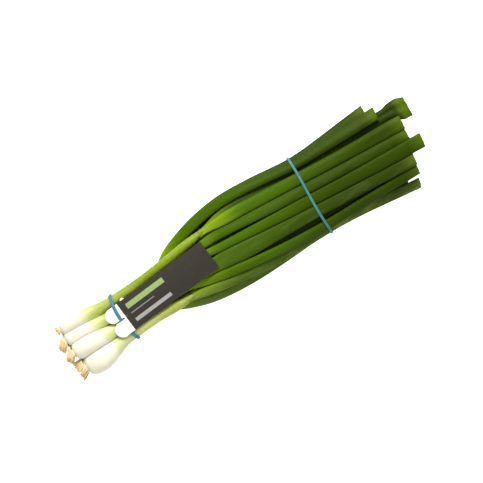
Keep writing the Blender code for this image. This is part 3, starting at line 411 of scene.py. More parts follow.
def leaf_material(settings):
    """Smooth green leaf with veins and waxy bloom, yellower where it is young and at its cut end. The
    leaves under others are painted darker as shade, and the bent tip and the bloom on some leaves carry
    painted highlight and sheen.
    """
    material, tree, shader = start_material("spring onion leaf")
    along, around = strand_place(tree)
    place = object_place(tree)
    tone = painted(tree, "tone")
    mottle = use_group(tree, "skin_mottle", Vector=place, Scale=1.0)
    veins = use_group(tree, "lengthwise_veins", Along=along, Around=around, Count=44.0)
    # Waxy bloom, and on d_1 and g_1 painted sheen, in streaks whose amount each leaf carries
    bloom_and_sheen = use_group(tree, "waxy_bloom_and_sheen", Vector=place, Amount=painted(tree, "bloom_and_sheen"))
    passed = maths(tree, "SUBTRACT", along, painted(tree, "late"))
    age = scaled(tree, mottle["Light"], 0.03, passed)
    young = between(tree, age, 0.010, 0.058, 1.0, 0.0)
    # Low tones blend towards the dark colour, which on the leaves under others is painted shade
    grown = blend_colours(tree, tone, linear(settings.dark_and_shaded), linear(settings.full))
    colour = blend_colours(tree, young, grown, linear(settings.young))
    shade = scaled(tree, mottle["Light"], 0.5, 0.75)
    shade = times(tree, shade, between(tree, along, 0.03, 0.16, 1.45, 0.50))
    colour = blend_colours(tree, 1.0, colour, shade, "MULTIPLY")
    lines = times(tree, veins["Tint"], 0.14)
    colour = blend_colours(tree, lines, colour, linear(settings.young))
    # Paler cut ends, and on the bent tip a painted highlight
    tips = times(tree, painted(tree, "near_end"), 0.32)
    colour = blend_colours(tree, tips, colour, linear(settings.young))
    colour = blend_colours(tree, bloom_and_sheen["Mask"], colour, linear(settings.bloom_and_sheen))
    colour = blend_colours(tree, painted(tree, "inner"), colour, linear(settings.cut))
    rough = scaled(tree, bloom_and_sheen["Mask"], 0.25, 0.30)
    cover(tree, shader, colour, scaled(tree, mottle["Light"], 0.12, rough), 0.08)
    shader.inputs["Specular Tint"].default_value = (0.80, 1.0, 0.30, 1.0)
    height = scaled(tree, bloom_and_sheen["Grain"], 0.2, veins["Height"])
    bump_into(tree, shader, height, settings.vein_depth, 0.8)
    return material


def root_material(settings):
    """Dry, matt fibres, paler where they leave the plate."""
    material, tree, shader = start_material("spring onion root")
    place = object_place(tree)
    mottle = use_group(tree, "skin_mottle", Vector=place, Scale=3.0)
    age = scaled(tree, mottle["Light"], 0.6, painted(tree, "age"))
    colour = ramp(tree, age, [(0.2, linear(settings.root)), (1.0, linear(settings.tip))])
    dirt = times(tree, mottle["Spots"], 0.3)
    colour = blend_colours(tree, dirt, colour, linear(ROOT_DIRT))
    cover(tree, shader, colour, between(tree, mottle["Light"], 0.3, 0.7, 0.65, 0.9), 0.25)
    bump_into(tree, shader, speckle(tree, place, 2200.0), 0.08 * MM)
    return material


def rubber_material(name, colour):
    """Matt rubber with a dusty bloom and fine moulding lines along the band."""
    material, tree, shader = start_material(name)
    around = strand_place(tree)[1]
    place = object_place(tree)
    rub = use_group(tree, "handled_surface", Vector=place)
    dust = times(tree, rub["Scuff"], 0.05)
    dusty = blend_colours(tree, dust, linear(colour), linear(RUBBER_DUST))
    shade = scaled(tree, speckle(tree, place, 160.0), 0.4, 0.8)
    dusty = blend_colours(tree, 1.0, dusty, shade, "MULTIPLY")
    cover(tree, shader, dusty, between(tree, rub["Scuff"], 0.0, 1.0, 0.45, 0.68), 0.22)
    lines = maths(tree, "SINE", times(tree, around, 2.0 * math.pi * MOULD_LINES))
    height = scaled(tree, lines, 0.3, rub["Height"])
    bump_into(tree, shader, height, 0.03 * MM)
    return material


# Measuring a solid

CUT_STEP = 2.0 * MM
FIRST_CUT = 0.3 * MM
LAST_CUT = 2.6 * MM
TILTS_TRIED = 121
FIRST_SEARCH = math.radians(75.0)
NEXT_SEARCH = math.radians(12.0)


def triangles_of(node):
    """The corners of a solid's triangles as an array of (triangle, corner, axis)."""
    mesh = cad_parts[node].data
    mesh.calc_loop_triangles()
    points = np.array([v.co[:] for v in mesh.vertices])
    return points[np.array([t.vertices[:] for t in mesh.loop_triangles])]


def surface_of(node):
    """A solid's surface, to cast rays at."""
    corners = triangles_of(node).reshape(-1, 3)
    return BVHTree.FromPolygons(corners.tolist(), np.arange(len(corners)).reshape(-1, 3).tolist())


def cut_points(triangles, x):
    """Where a solid's edges cross the upright plane at x, as (y, z) points."""
    starts = triangles.reshape(-1, 3)
    ends = np.roll(triangles, -1, axis=1).reshape(-1, 3)
    crossing = (starts[:, 0] - x) * (ends[:, 0] - x) < 0.0
    first, last = starts[crossing], ends[crossing]
    share = (x - first[:, 0]) / (last[:, 0] - first[:, 0])
    return first[:, 1:] + share[:, None] * (last - first)[:, 1:]


def thinnest_box(points, tilt, search):
    """Middle, half width, half thickness and tilt of the thinnest box round a section."""
    tilts = tilt + np.linspace(-search, search, TILTS_TRIED)
    wide = points @ np.stack([np.cos(tilts), np.sin(tilts)])
    thick = points @ np.stack([-np.sin(tilts), np.cos(tilts)])
    best = int(np.argmin(np.ptp(thick, axis=0)))
    angle = tilts[best]
    middle_wide = (wide[:, best].max() + wide[:, best].min()) / 2.0
    middle_thick = (thick[:, best].max() + thick[:, best].min()) / 2.0
    y = middle_wide * math.cos(angle) - middle_thick * math.sin(angle)
    z = middle_wide * math.sin(angle) + middle_thick * math.cos(angle)
    return y, z, np.ptp(wide[:, best]) / 2.0, np.ptp(thick[:, best]) / 2.0, angle


class Strand:
    """The smooth line, width, thickness and tilt of a stem or leaf, measured on its solid."""

    def __init__(self, node, sides, turning, soft):
        triangles = triangles_of(node)
        low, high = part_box(node)
        self.start, self.end = low.x, high.x
        cuts = int((high.x - low.x) / CUT_STEP)
        self.x = np.linspace(low.x + FIRST_CUT, high.x - LAST_CUT, cuts)
        rows = []
        tilt = 0.0
        search = FIRST_SEARCH if turning else 0.0
        for x in self.x:
            row = thinnest_box(cut_points(triangles, x), tilt, search)
            if turning:
                tilt, search = row[4], NEXT_SEARCH
            rows.append(row)
        self.rows = np.array(rows)
        self.rows[:, 2:4] /= math.cos(math.pi / sides)
        for _ in range(soft):
            self.rows[1:-1] = (self.rows[:-2] + 2.0 * self.rows[1:-1] + self.rows[2:]) / 4.0

    def at(self, x):
        """(y, z, half width, half thickness, tilt) at any place, drawn on straight past the ends."""
        if x > self.x[-1]:
            slope = (self.rows[-1] - self.rows[-4]) / (self.x[-1] - self.x[-4])
            slope[2:] = 0.0
            return self.rows[-1] + slope * (x - self.x[-1])
        return np.array([np.interp(x, self.x, self.rows[:, k]) for k in range(5)])


# Pieces

def smooth_step(value, low, high):
    """A share that rises softly from 0 at the low value to 1 at the high one."""
    share = min(max((value - low) / (high - low), 0.0), 1.0)
    return share * share * (3.0 - 2.0 * share)


def rounded(value, power):
    """A sine or cosine, made blunter by a power below 1."""
    return math.copysign(abs(value) ** power, value)


def object_from(bm, name):
    """A smooth-shaded object from a finished mesh, placed in the scene."""
    for face in bm.faces:
        face.smooth = True
    mesh = bpy.data.meshes.new(name)
    bm.to_mesh(mesh)
    bm.free()
    obj = bpy.data.objects.new(name, mesh)
    bpy.context.scene.collection.objects.link(obj)
    return obj


def finish_piece(obj, material, node):
    """Give a piece its material, and say which solid it replaces."""
    obj.data.materials.append(material)
    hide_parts(node)
    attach(obj, "root")


# Tubes

class Ring:
    """One ring of a tube: its place, how far in from the skin, its size, and what the mesh carries."""

    def __init__(self, x, inset=0.0, size=1.0, **carried):
        self.x = x
        self.inset = inset
        self.size = size
        self.carried = carried


def tube(name, rings, sides, place):
    """A closed tube through a list of rings. The place function gives the point for (ring, turn)."""
    bm = bmesh.new()
    steps = len(rings) - 1
    bmesh.ops.create_grid(bm, x_segments=steps, y_segments=sides, size=0.5)
    layers = {key: bm.verts.layers.float.new(key) for key in rings[0].carried}
    spots = {}
    for vert in bm.verts:
        i = round((vert.co.x + 0.5) * steps)
        j = round((vert.co.y + 0.5) * sides)
        spots[vert.index] = (i, j)
        vert.co = place(rings[i], 2.0 * math.pi * (j % sides) / sides)
        for key, layer in layers.items():
            vert[layer] = rings[i].carried[key]
    uv = bm.loops.layers.uv.new("strand")
    lengths = np.cumsum([0.0] + [max(abs(b.x - a.x), 0.2 * MM) for a, b in zip(rings, rings[1:])])
    for face in bm.faces:
        for loop in face.loops:
            i, j = spots[loop.vert.index]
            loop[uv].uv = (lengths[i], j / sides)
    bmesh.ops.remove_doubles(bm, verts=bm.verts, dist=1e-6)
    bmesh.ops.recalc_face_normals(bm, faces=bm.faces)
    return object_from(bm, name)


def section_point(x, turn, row, inset, size, power, squeeze=1.0):
    """A point round a strip with round ends, tilted about the strand."""
    y, z, wide, thick, tilt = row
    across = rounded(math.cos(turn), power) * max(wide - inset, 0.0) * size
    up = rounded(math.sin(turn), power) * max(thick - inset, 0.0) * size * squeeze
    side = y + across * math.cos(tilt) - up * math.sin(tilt)
    height = z + across * math.sin(tilt) + up * math.cos(tilt)
    return Vector((x, min(max(side, SOLID_BOX[0].y), SOLID_BOX[1].y),
                   min(max(height, SOLID_BOX[0].z), SOLID_BOX[1].z)))


# Stems

# How green each stem is along its length, as (metres from the root end, share)
GREENING = {
    "a": ((0.018, 0.0), (0.030, 0.38), (0.036, 0.60), (0.046, 0.76), (0.070, 0.88), (0.090, 1.0)),
    "b": ((0.026, 0.0), (0.033, 0.38), (0.040, 0.56), (0.050, 0.75), (0.090, 1.0)),
    "c": ((0.030, 0.0), (0.038, 0.40), (0.042, 0.47), (0.050, 0.62), (0.090, 0.95)),
    "d": ((0.032, 0.0), (0.042, 0.47), (0.055, 0.56), (0.080, 0.66), (0.100, 0.78), (0.116, 0.86)),
}

# How much wider still these bulbs are, and how far the top of a collar reaches, in millimetres
WIDER = {"c": 0.5, "d": 0.7}
TONGUES = {"d": 7.0, "a": 2.0}

# Where the bulb's extra width fades out, from the root end
PLUMP_FADE = (24.0 * MM, 40.0 * MM)
BLUNT_FADE = 11.0 * MM

# How far a collar stops short of its solid's end, and how far back from its mouth it is open, wavy,
# drawn in and painted pale as a highlight
COLLAR_BACK = 1.6 * MM
COLLAR_DEPTHS = (3.0 * MM, 6.4 * MM)
COLLAR_FLOOR = 6.6 * MM
WAVY_FROM = 26.0 * MM
DRAWN_FROM = 16.0 * MM
RIM_FROM = 2.5 * MM

# Where the wrapped sheath edges start round the stem, how wide and how sharp they are, in radians,
# how far they turn in a metre, where they rise out of the bulb, and how uneven the stem is
SHEATH_EDGES = (0.0, 2.3, 4.1)
SHEATH_WIDE = 1.6
SHEATH_SHARP = 0.10
SHEATH_TWIST = 6.0
SHEATH_RISE = (8.0 * MM, 30.0 * MM)
STEM_SWELL = 0.16 * MM


def build_stem(letter, settings, material):
    """A bulb and its stem: closed at the root plate, with wrapped sheaths and a thin open collar."""
    node = f"onion_{letter}_shank"
    strand = Strand(node, STEM_SIDES, turning=False, soft=5)
    first = strand.start
    collar = strand.end - COLLAR_BACK
    seed = STEM_NAMES.index(letter) * 7.3
    root_end = SOLID_BOX[0].x
    places, shares = zip(*GREENING.get(letter, GREENING["b"]))

    # rim is the share of the painted highlight round the collar's lip
    def carried(x, rim=0.0):
        return {"greening": float(np.interp(x - root_end, places, shares)), "rim": rim}

    rings = [Ring(first, size=0.0, **carried(first)), Ring(first, size=0.85, **carried(first))]
    steps = int((collar - first) / settings.ring_step)
    for k in range(1, steps + 1):
        x = first + (collar - first) * k / steps
        rings.append(Ring(x, **carried(x, smooth_step(x, collar - RIM_FROM, collar))))
    rings.append(Ring(collar + ROUND_LIP, settings.rim_wall * 0.35, **carried(collar, 1.0)))
    for back in (0.0, *COLLAR_DEPTHS):
        rings.append(Ring(collar - back, settings.rim_wall, **carried(collar, 1.0)))
    rings.append(Ring(collar - COLLAR_FLOOR, size=0.0, **carried(collar, 1.0)))

    def place(ring, turn):
        row = strand.at(ring.x)
        x = ring.x
        plump = settings.plump + WIDER.get(letter, 0.0) * MM
        row[2] += plump * (1.0 - smooth_step(x, first + PLUMP_FADE[0], first + PLUMP_FADE[1]))
        row[2] += settings.blunt * (1.0 - smooth_step(x, first, first + BLUNT_FADE))
        near = smooth_step(x, collar - WAVY_FROM, collar)
        x += near * (3.6 * math.cos(turn - seed) + 0.5 * math.cos(2.0 * turn + seed) - 0.8) * MM
        x += near * TONGUES.get(letter, 0.0) * max(math.sin(turn), 0.0) ** 3 * MM
        lift = 0.0
        if ring.inset == 0.0 and ring.size == 1.0:
            for edge in SHEATH_EDGES:
                wrap = (turn - edge - seed - SHEATH_TWIST * (x - first)) % (2.0 * math.pi)
                fall = max(0.0, 1.0 - wrap / SHEATH_WIDE)
                lift += settings.sheath_step * fall * min(wrap / SHEATH_SHARP, 1.0)
            lift *= smooth_step(x, first + SHEATH_RISE[0], first + SHEATH_RISE[1])
            swell = noise.noise(Vector((x * 40.0, math.cos(turn) * 1.2 + seed, math.sin(turn) * 1.2)))
            lift += STEM_SWELL * swell
        draw_in = settings.cling * smooth_step(x, collar - DRAWN_FROM, collar)
        return section_point(x, turn, row, ring.inset + draw_in - lift, ring.size, 1.0)

    finish_piece(tube(f"stem_{letter}", rings, settings.sides, place), material, node)


# Leaves

# How bright and how waxy each leaf is, and how far beyond its collar it stays pale, in millimetres.
# Leaves that aren't named get drawn values. The low brightness of a_2, of the third leaves and of the
# unnamed leaves, which lie under others, is painted shade in the gaps. The thick bloom of d_1 and g_1 and
# the long pale stretch of a_1 and d_1 are partly painted sheen.
LEAF_TONES = {
    "a_1": (0.94, 0.06, 5.0), "a_2": (0.22, 0.04, 0.0), "a_3": (0.00, 0.00, 0.0),
    "b_1": (0.84, 0.10, 0.0), "b_2": (0.98, 0.04, 0.0), "b_3": (0.00, 0.00, 0.0),
    "c_1": (0.68, 0.24, 0.0), "c_2": (1.00, 0.06, 0.0), "c_3": (0.00, 0.00, 0.0),
    "d_1": (0.90, 0.85, 8.0), "d_3": (0.00, 0.05, 0.0), "e_1": (0.88, 0.02, 0.0),
    "e_2": (0.72, 0.10, 0.0), "g_1": (0.95, 0.75, 0.0),
}

# How far each cut end slants, in millimetres from its middle to its edge
CUT_SLANTS = {
    "a_1": 0.7, "b_1": 0.3, "b_2": 0.8, "c_1": 0.9, "d_1": 1.3, "e_3": -0.5, "g_1": 1.2, "g_2": 1.2,
}
BENT_TIP = "a_2"

# How far a leaf stops short of its solid's end, and how far back from its cut it is pale, slanted
# and wider
CUT_BACK = 1.3 * MM
PALE_TIP = 14.0 * MM
# On the bent tip the pale stretch is a painted highlight where the curl catches the light
BENT_TIP_HIGHLIGHT = (11.0 * MM, 5.0 * MM)
SLANT_FROM = 10.0 * MM
WIDER_FROM = (60.0 * MM, 20.0 * MM)
WIDER_BY = 0.3 * MM
RAGGED = 0.35 * MM

# Where the rings inside a cut end lie, as shares of its hollow's depth
HOLLOW_RINGS = (0.08, 0.2, 0.4, 0.7, 1.0)

# Where the bent tip narrows, flares and drops to the side, back from its cut
NECK = (26.0 * MM, 21.0 * MM)
FLARE = (18.0 * MM, 15.0 * MM)
DROP = (12.0 * MM, 9.0 * MM)

# How rounded a leaf's sides are, how uneven its width is, as a share, and how wide its crease is
LEAF_ROUNDNESS = 0.88
LEAF_UNEVEN = 0.035
CREASE_WIDTH = 0.28


def build_leaf(letter, number, settings, material):
    """A flattened hollow leaf with a soft crease, uneven width and a slanted open cut end."""
    node = f"onion_{letter}_leaf_{number}"
    leaf = f"{letter}_{number}"
    strand = Strand(node, LEAF_SIDES, turning=True, soft=5 if leaf == BENT_TIP else 16)
    draw = random.Random(f"{letter}{number}")
    # Unnamed leaves lie under others: their low drawn brightness is painted shade in the gaps
    drawn = (draw.uniform(0.05, 0.45), draw.uniform(0.0, 0.15), 0.0)
    tone, bloom_and_sheen, late = LEAF_TONES.get(leaf, drawn)
    first, last = strand.start, strand.end - CUT_BACK
    slant = CUT_SLANTS.get(leaf, draw.uniform(0.2, 1.1)) * MM
    seed = draw.uniform(0.0, 50.0)
    crease_at = draw.uniform(-0.45, 0.45)
    crease_deep = draw.uniform(0.10, 0.30)

    def rising(x, back):
        return smooth_step(x, last - back[0], last - back[1])

    def carried(x, inner=0.0):
        near_end = max(0.0, 1.0 - (last - x) / PALE_TIP) ** 1.5
        # near_end is a paler cut end; on the bent tip it is a painted highlight
        if leaf == BENT_TIP:
            near_end = rising(x, BENT_TIP_HIGHLIGHT)
        return {"tone": tone, "bloom_and_sheen": bloom_and_sheen * (1.0 - inner), "late": late * MM, "near_end": near_end,
                "inner": inner}

    rings = [Ring(first, size=0.0, **carried(first)), Ring(first, size=0.8, **carried(first))]
    steps = int((last - first) / settings.ring_step)
    for k in range(1, steps + 1):
        x = first + (last - first) * k / steps
        rings.append(Ring(x, **carried(x)))
    wall = settings.wall
    rings.append(Ring(last + ROUND_LIP, wall * 0.3, **carried(last, 0.8)))
    rings.append(Ring(last, wall, **carried(last, 1.0)))
    for depth in HOLLOW_RINGS:
        rings.append(Ring(last - settings.hollow * depth, wall, **carried(last, 1.0)))
    rings.append(Ring(last - settings.hollow, size=0.0, **carried(last, 1.0)))

    def place(ring, turn):
        x = ring.x
        row = strand.at(x)
        cosine = math.cos(turn)
        ragged = noise.noise(Vector((seed, cosine * 2.0, math.sin(turn) * 2.0)))
        moved = x + rising(x, (SLANT_FROM, 0.0)) * (slant * cosine + RAGGED * ragged)
        row[2] *= 1.0 + LEAF_UNEVEN * noise.noise(Vector((x * 28.0, seed, 0.0)))
        row[2] += WIDER_BY * rising(x, WIDER_FROM)
        if leaf == BENT_TIP:
            drop = rising(x, DROP)
            row[2] += (0.9 * rising(x, FLARE) + 1.8 * drop - 0.8 * rising(x, NECK)) * MM
            row[0] -= 1.8 * drop * MM
        side = 0.0 if math.sin(turn) >= 0.0 else 4.7
        depth = noise.noise(Vector((x * 16.0, seed + side, 5.0))) + 0.55
        valley = math.exp(-((cosine - crease_at - side * 0.1) / CREASE_WIDTH) ** 2)
        squeeze = 1.0 - crease_deep * max(depth, 0.0) * valley
        return section_point(moved, turn, row, ring.inset, ring.size, LEAF_ROUNDNESS, squeeze)

    finish_piece(tube(f"leaf_{leaf}", rings, settings.sides, place), material, node)


# Roots

# Where each tuft leans across the bunch, its shortest and longest root in millimetres, how much
# wider than its plate it is drawn, as a share, and how far it stands to the side, in millimetres
TUFTS = {
    "a": (-0.10, 2.0, 3.6, 0.0, 1.0), "b": (-1.05, 7.5, 11.5, 0.8, 1.0), "c": (-0.95, 7.5, 11.5, 0.5, 2.4),
    "d": (-0.42, 6.5, 10.0, 0.7, 2.0), "e": (0.10, 2.5, 5.0, 0.2, 0.0), "f": (-0.20, 2.5, 5.0, 0.2, 0.0),
    "g": (0.15, 2.5, 5.0, 0.2, 0.0),
}

# The plate's size as a share of its stem, the share of it that has roots, how deep they start in it,
# and its layers, as (thickness in millimetres, size as a share of the layer before)
PLATE_SHARE = 0.96
ROOTED_SHARE = 0.86
ROOT_DEPTH = 1.0 * MM
PLATE_LAYERS = ((0.5, 0.98), (0.7, 0.90), (0.5, 0.72))
PLATE_SIDES = 28
ROOT_SIDES = 5
ROOT_STEPS = 4
ROOT_TAPER = 0.5
TURN_BETWEEN_ROOTS = 2.39996


def disc(bm, sides, radius, direction, middle):
    """The face of a new flat disc that looks along a direction."""
    verts = bmesh.ops.create_circle(bm, segments=sides, radius=radius, cap_ends=True)["verts"]
    turn = Vector((0.0, 0.0, 1.0)).rotation_difference(direction).to_matrix()
    bmesh.ops.rotate(bm, verts=verts, cent=(0.0, 0.0, 0.0), matrix=turn)
    bmesh.ops.translate(bm, verts=verts, vec=middle)
    return list({face for vert in verts for face in vert.link_faces})


def extrude(bm, faces, keep):
    """Extrude faces. Gives the new points, their middle and the new faces."""
    made = bmesh.ops.extrude_face_region(bm, geom=faces, use_keep_orig=keep)["geom"]
    verts = [item for item in made if isinstance(item, bmesh.types.BMVert)]
    faces = [item for item in made if isinstance(item, bmesh.types.BMFace)]
    return verts, sum((v.co for v in verts), Vector()) / len(verts), faces


def build_roots(letter, settings, material):
    """A root plate with a tuft of thin bent roots, all trimmed short."""
    node = f"onion_{letter}_roots"
    strand = Strand(f"onion_{letter}_shank", STEM_SIDES, turning=False, soft=2)
    row = strand.at(strand.start + 0.4 * MM)
    middle = Vector((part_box(node)[1].x, row[0], row[1]))
    radius = row[2] * PLATE_SHARE
    lean, shortest, longest, spread, aside = TUFTS[letter]
    draw = random.Random(f"roots {letter}")
    bm = bmesh.new()
    age = bm.verts.layers.float.new("age")
    faces = disc(bm, PLATE_SIDES, radius, Vector((1.0, 0.0, 0.0)), middle)
    for k, (back, size) in enumerate(PLATE_LAYERS):
        verts, centre, faces = extrude(bm, faces, keep=(k == 0))
        for vert in verts:
            vert.co = centre + (vert.co - centre) * size
            vert.co.x += (draw.uniform(-0.08, 0.08) - back) * MM
    for k in range(settings.count):
        angle = k * TURN_BETWEEN_ROOTS + draw.uniform(-0.2, 0.2)
        reach = radius * ROOTED_SHARE * math.sqrt((k + 0.5) / settings.count)
        out = Vector((0.0, math.cos(angle), math.sin(angle)))
        start = middle + out * reach + Vector((-ROOT_DEPTH, out.y * reach * spread + aside * MM, 0.0))
        clump = noise.noise(Vector((math.cos(angle) * 1.5, math.sin(angle) * 1.5, radius * 900.0)))
        upper = out.y * reach / radius
        direction = Vector((-1.0, lean * (1.0 + 0.3 * upper) + 0.4 * clump, -0.12))
        direction += out * draw.uniform(0.0, 0.35)
        direction.normalize()
        uneven = 0.85 + (0.25 * upper if lean < -0.5 else 0.0)
        length = draw.uniform(shortest, longest) * MM * uneven
        length = min(length, (start.x - SOLID_BOX[0].x) / max(-direction.x, 0.3))
        bend = Vector((0.0, draw.uniform(-0.9, 0.9), draw.uniform(-1.6, 0.6))) * MM
        width = settings.radius * draw.uniform(0.7, 1.15)
        add_root(bm, age, start, direction, length, bend, width, draw.random())
    bmesh.ops.recalc_face_normals(bm, faces=bm.faces)
    finish_piece(object_from(bm, f"roots_{letter}"), material, node)


def add_root(bm, age, start, direction, length, bend, radius, dryness):
    """One tapered root, bent a little and cut off straight."""
    cap = disc(bm, ROOT_SIDES, radius, direction, start)
    for k in range(1, ROOT_STEPS + 1):
        share = k / ROOT_STEPS
        verts, here, cap = extrude(bm, cap, keep=(k == 1))
        centre = start + direction * length * share + bend * share**2
        centre.z = min(max(centre.z, SOLID_BOX[0].z + radius), SOLID_BOX[1].z - radius)
        centre.x = max(centre.x, SOLID_BOX[0].x + radius)
        narrow = 1.0 - ROOT_TAPER * share
        before = 1.0 - ROOT_TAPER * (share - 1.0 / ROOT_STEPS)
        for vert in verts:
            vert.co = centre + (vert.co - here) * narrow / before
            vert[age] = 0.15 + 0.55 * share + 0.3 * dryness


# Bands

LOWER_WIDTH = 2.7 * MM
UPPER_WIDTH = 2.1 * MM
BAND_THICKNESS = 0.9 * MM
BAND_ROUNDNESS = 0.45
BAND_SIDES = 20
RAY_STEP = 0.2 * MM


def band_route(node, steps):
    """The band's outer radius and its middle along the bunch at even turns, seen from its own middle."""
    tree = surface_of(node)
    low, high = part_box(node)
    centre = (low + high) / 2.0
    reach = (high - low).length
    places = np.arange(low.x, high.x, RAY_STEP)
    route = []
    for k in range(steps):
        turn = 2.0 * math.pi * k / steps
        out = Vector((0.0, math.cos(turn), math.sin(turn)))
        hits = []
        for x in places:
            here = Vector((x, centre.y, centre.z))
            hit = tree.ray_cast(here + out * reach, -out, reach)[0]
            if hit is not None:
                hits.append((x, (hit - here).length))
        hits = np.array(hits)
        route.append(((hits[0, 0] + hits[-1, 0]) / 2.0, hits[:, 1].max()))
    return centre, np.array(route)


def build_band(node, name, width, steps, material):
    """A slightly uneven rubber band with rounded edges."""
    centre, route = band_route(node, steps)
    for _ in range(3):
        route = (np.roll(route, 1, axis=0) + 2.0 * route + np.roll(route, -1, axis=0)) / 4.0
    rings = [Ring(k) for k in range(steps + 1)]

    def place(ring, turn):
        k = ring.x % steps
        angle = 2.0 * math.pi * k / steps
        x, reach = route[k]
        uneven = noise.noise(Vector((math.cos(angle) * 2.0, math.sin(angle) * 2.0, 3.0)))
        side = rounded(math.cos(turn), BAND_ROUNDNESS) * width / 2.0 * (1.0 + 0.06 * uneven)
        up = rounded(math.sin(turn), BAND_ROUNDNESS) * BAND_THICKNESS / 2.0
        out = Vector((0.0, math.cos(angle), math.sin(angle)))
        point = Vector((x + side, centre.y, centre.z)) + out * (reach - BAND_THICKNESS / 2.0 + up)
        point.z = min(max(point.z, SOLID_BOX[0].z), SOLID_BOX[1].z)
        return point

    finish_piece(tube(name, rings, BAND_SIDES, place), material, node)


# Tag

TAG_LENGTH = 97.0 * MM
TAG_HALF_WIDTH = 12.75 * MM
TAG_TURN = math.radians(3.9)
LOBE_LENGTH = 13.0 * MM
SLIT_HALF = 0.9 * MM
NUB = (17.5 * MM, 21.5 * MM)
NUB_OUT = 1.5 * MM
PRINT_START = 14.3 * MM
ABOVE_TAG = 5.0 * MM


def tag_corner():
    """Where the tag's middle line starts at the lobes, found from the solid's far corner."""
    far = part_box("label_tag")[1]
    cosine, sine = math.cos(TAG_TURN), math.sin(TAG_TURN)
    return Vector((far.x - TAG_LENGTH * cosine - TAG_HALF_WIDTH * sine,
                   far.y - TAG_LENGTH * sine - TAG_HALF_WIDTH * cosine, 0.0))


def build_tag(settings, material):
    """A thin card on the solid's upper side, with two round lobes, a slit and a small nub."""
    tree = surface_of("label_tag")
    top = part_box("label_tag")[1].z + ABOVE_TAG
    lobe_half = (TAG_HALF_WIDTH - SLIT_HALF) / 2.0
    round_lines = -np.cos(np.linspace(0.0, math.pi, 15)) * lobe_half
    middle = SLIT_HALF + lobe_half
    across_lines = np.concatenate([round_lines - middle, round_lines + middle])
    lobe_lines = np.linspace(0.0, LOBE_LENGTH, 13)[:-1]
    along_lines = np.concatenate([lobe_lines, np.linspace(LOBE_LENGTH, TAG_LENGTH, 57)])
    bm = bmesh.new()
    columns, lines = len(along_lines) - 1, len(across_lines) - 1
    bmesh.ops.create_grid(bm, x_segments=columns, y_segments=lines, size=0.5)
    for vert in bm.verts:
        length = along_lines[round((vert.co.x + 0.5) * columns)]
        across = across_lines[round((vert.co.y + 0.5) * lines)]
        if length < LOBE_LENGTH:
            off = min(abs(abs(across) - middle) / lobe_half, 1.0)
            edge = lobe_half * (1.0 - math.sqrt(1.0 - off * off))
            length = edge + (LOBE_LENGTH - edge) * length / LOBE_LENGTH
        elif across == across_lines[-1] and NUB[0] < length < NUB[1]:
            across += NUB_OUT
        vert.co = Vector((length, across, 0.0))
    middles = [(face, face.calc_center_median()) for face in bm.faces]
    slit = [face for face, spot in middles if abs(spot.y) < SLIT_HALF * 0.9 and spot.x < LOBE_LENGTH]
    bmesh.ops.delete(bm, geom=slit, context="FACES")
    bmesh.ops.rotate(bm, verts=bm.verts, cent=(0.0, 0.0, 0.0), matrix=Matrix.Rotation(TAG_TURN, 3, "Z"))
    bmesh.ops.translate(bm, verts=bm.verts, vec=tag_corner())
    for vert in bm.verts:
        start = Vector((vert.co.x, vert.co.y, top))
        hit = tree.ray_cast(start, Vector((0.0, 0.0, -1.0)))[0] or tree.find_nearest(start)[0]
        vert.co.z = hit.z
    for _ in range(4):
        bmesh.ops.smooth_vert(bm, verts=bm.verts, factor=0.5, use_axis_z=True)
    obj = object_from(bm, "tag_card")
    card = obj.modifiers.new("card", "SOLIDIFY")
    card.thickness = settings.thickness
    card.offset = -1.0
    finish_piece(obj, material, "label_tag")


def tag_material(settings):
    """Card with a matt printed area, plain bars, and faint fibres."""
    material, tree, shader = start_material("tag card")
    place = object_place(tree)
    turned = put(tree, "ShaderNodeMapping", vector_type="TEXTURE")
    feed(tree, turned.inputs["Vector"], place)
    turned.inputs["Location"].default_value = tag_corner()
    turned.inputs["Rotation"].default_value = (0.0, 0.0, TAG_TURN)
    split = put(tree, "ShaderNodeSeparateXYZ")
    tree.links.new(turned.outputs["Vector"], split.inputs[0])
    length, across = split.outputs[0], split.outputs[1]

    def inside(value, low, high):
        above = maths(tree, "GREATER_THAN", value, low)
        return times(tree, above, maths(tree, "LESS_THAN", value, high))

    rub = use_group(tree, "handled_surface", Vector=place)
    fibre = speckle(tree, place, 700.0, 4.0)
    card = blend_colours(tree, times(tree, fibre, 0.05), linear(settings.card), linear(CARD_FIBRE))
    nub = maths(tree, "LESS_THAN", across, TAG_HALF_WIDTH + 0.1 * MM)
    printed = times(tree, maths(tree, "GREATER_THAN", length, PRINT_START), nub)
    ink = blend_colours(
        tree, times(tree, fibre, 0.10), linear(settings.print_colour), linear(WORN_PRINT))
    colour = blend_colours(tree, printed, card, ink)
    # Each bar from low to high across the card and from start to end along it, in millimetres
    for low, high, start, end, paint in (
        (4.0, 8.4, 19.5, 55.5, settings.accent), (-0.6, 0.3, 19.5, 42.0, THIN_BAR),
        (-8.2, -5.2, 19.5, 54.5, PALE_BAR),
    ):
        along_bar = inside(length, start * MM, end * MM)
        bar = times(tree, inside(across, low * MM, high * MM), along_bar)
        colour = blend_colours(tree, bar, colour, linear(paint))
    cover(tree, shader, colour, between(tree, rub["Scuff"], 0.0, 1.0, 0.38, 0.55), 0.28)
    bump_into(tree, shader, scaled(tree, rub["Height"], 0.4, fibre), 0.03 * MM)
    return material


# Operators

class ONION_OT_stems(bpy.types.Operator):
    """Build the seven bulbs with their pale stems and open collars"""

    bl_idname = "onion.stems"
    bl_label = "Build Stems"

    def execute(self, context):
        settings = context.scene.onion_stems
        material = stem_material(settings)
        for letter in STEM_NAMES:
            build_stem(letter, settings, material)
        return {"FINISHED"}


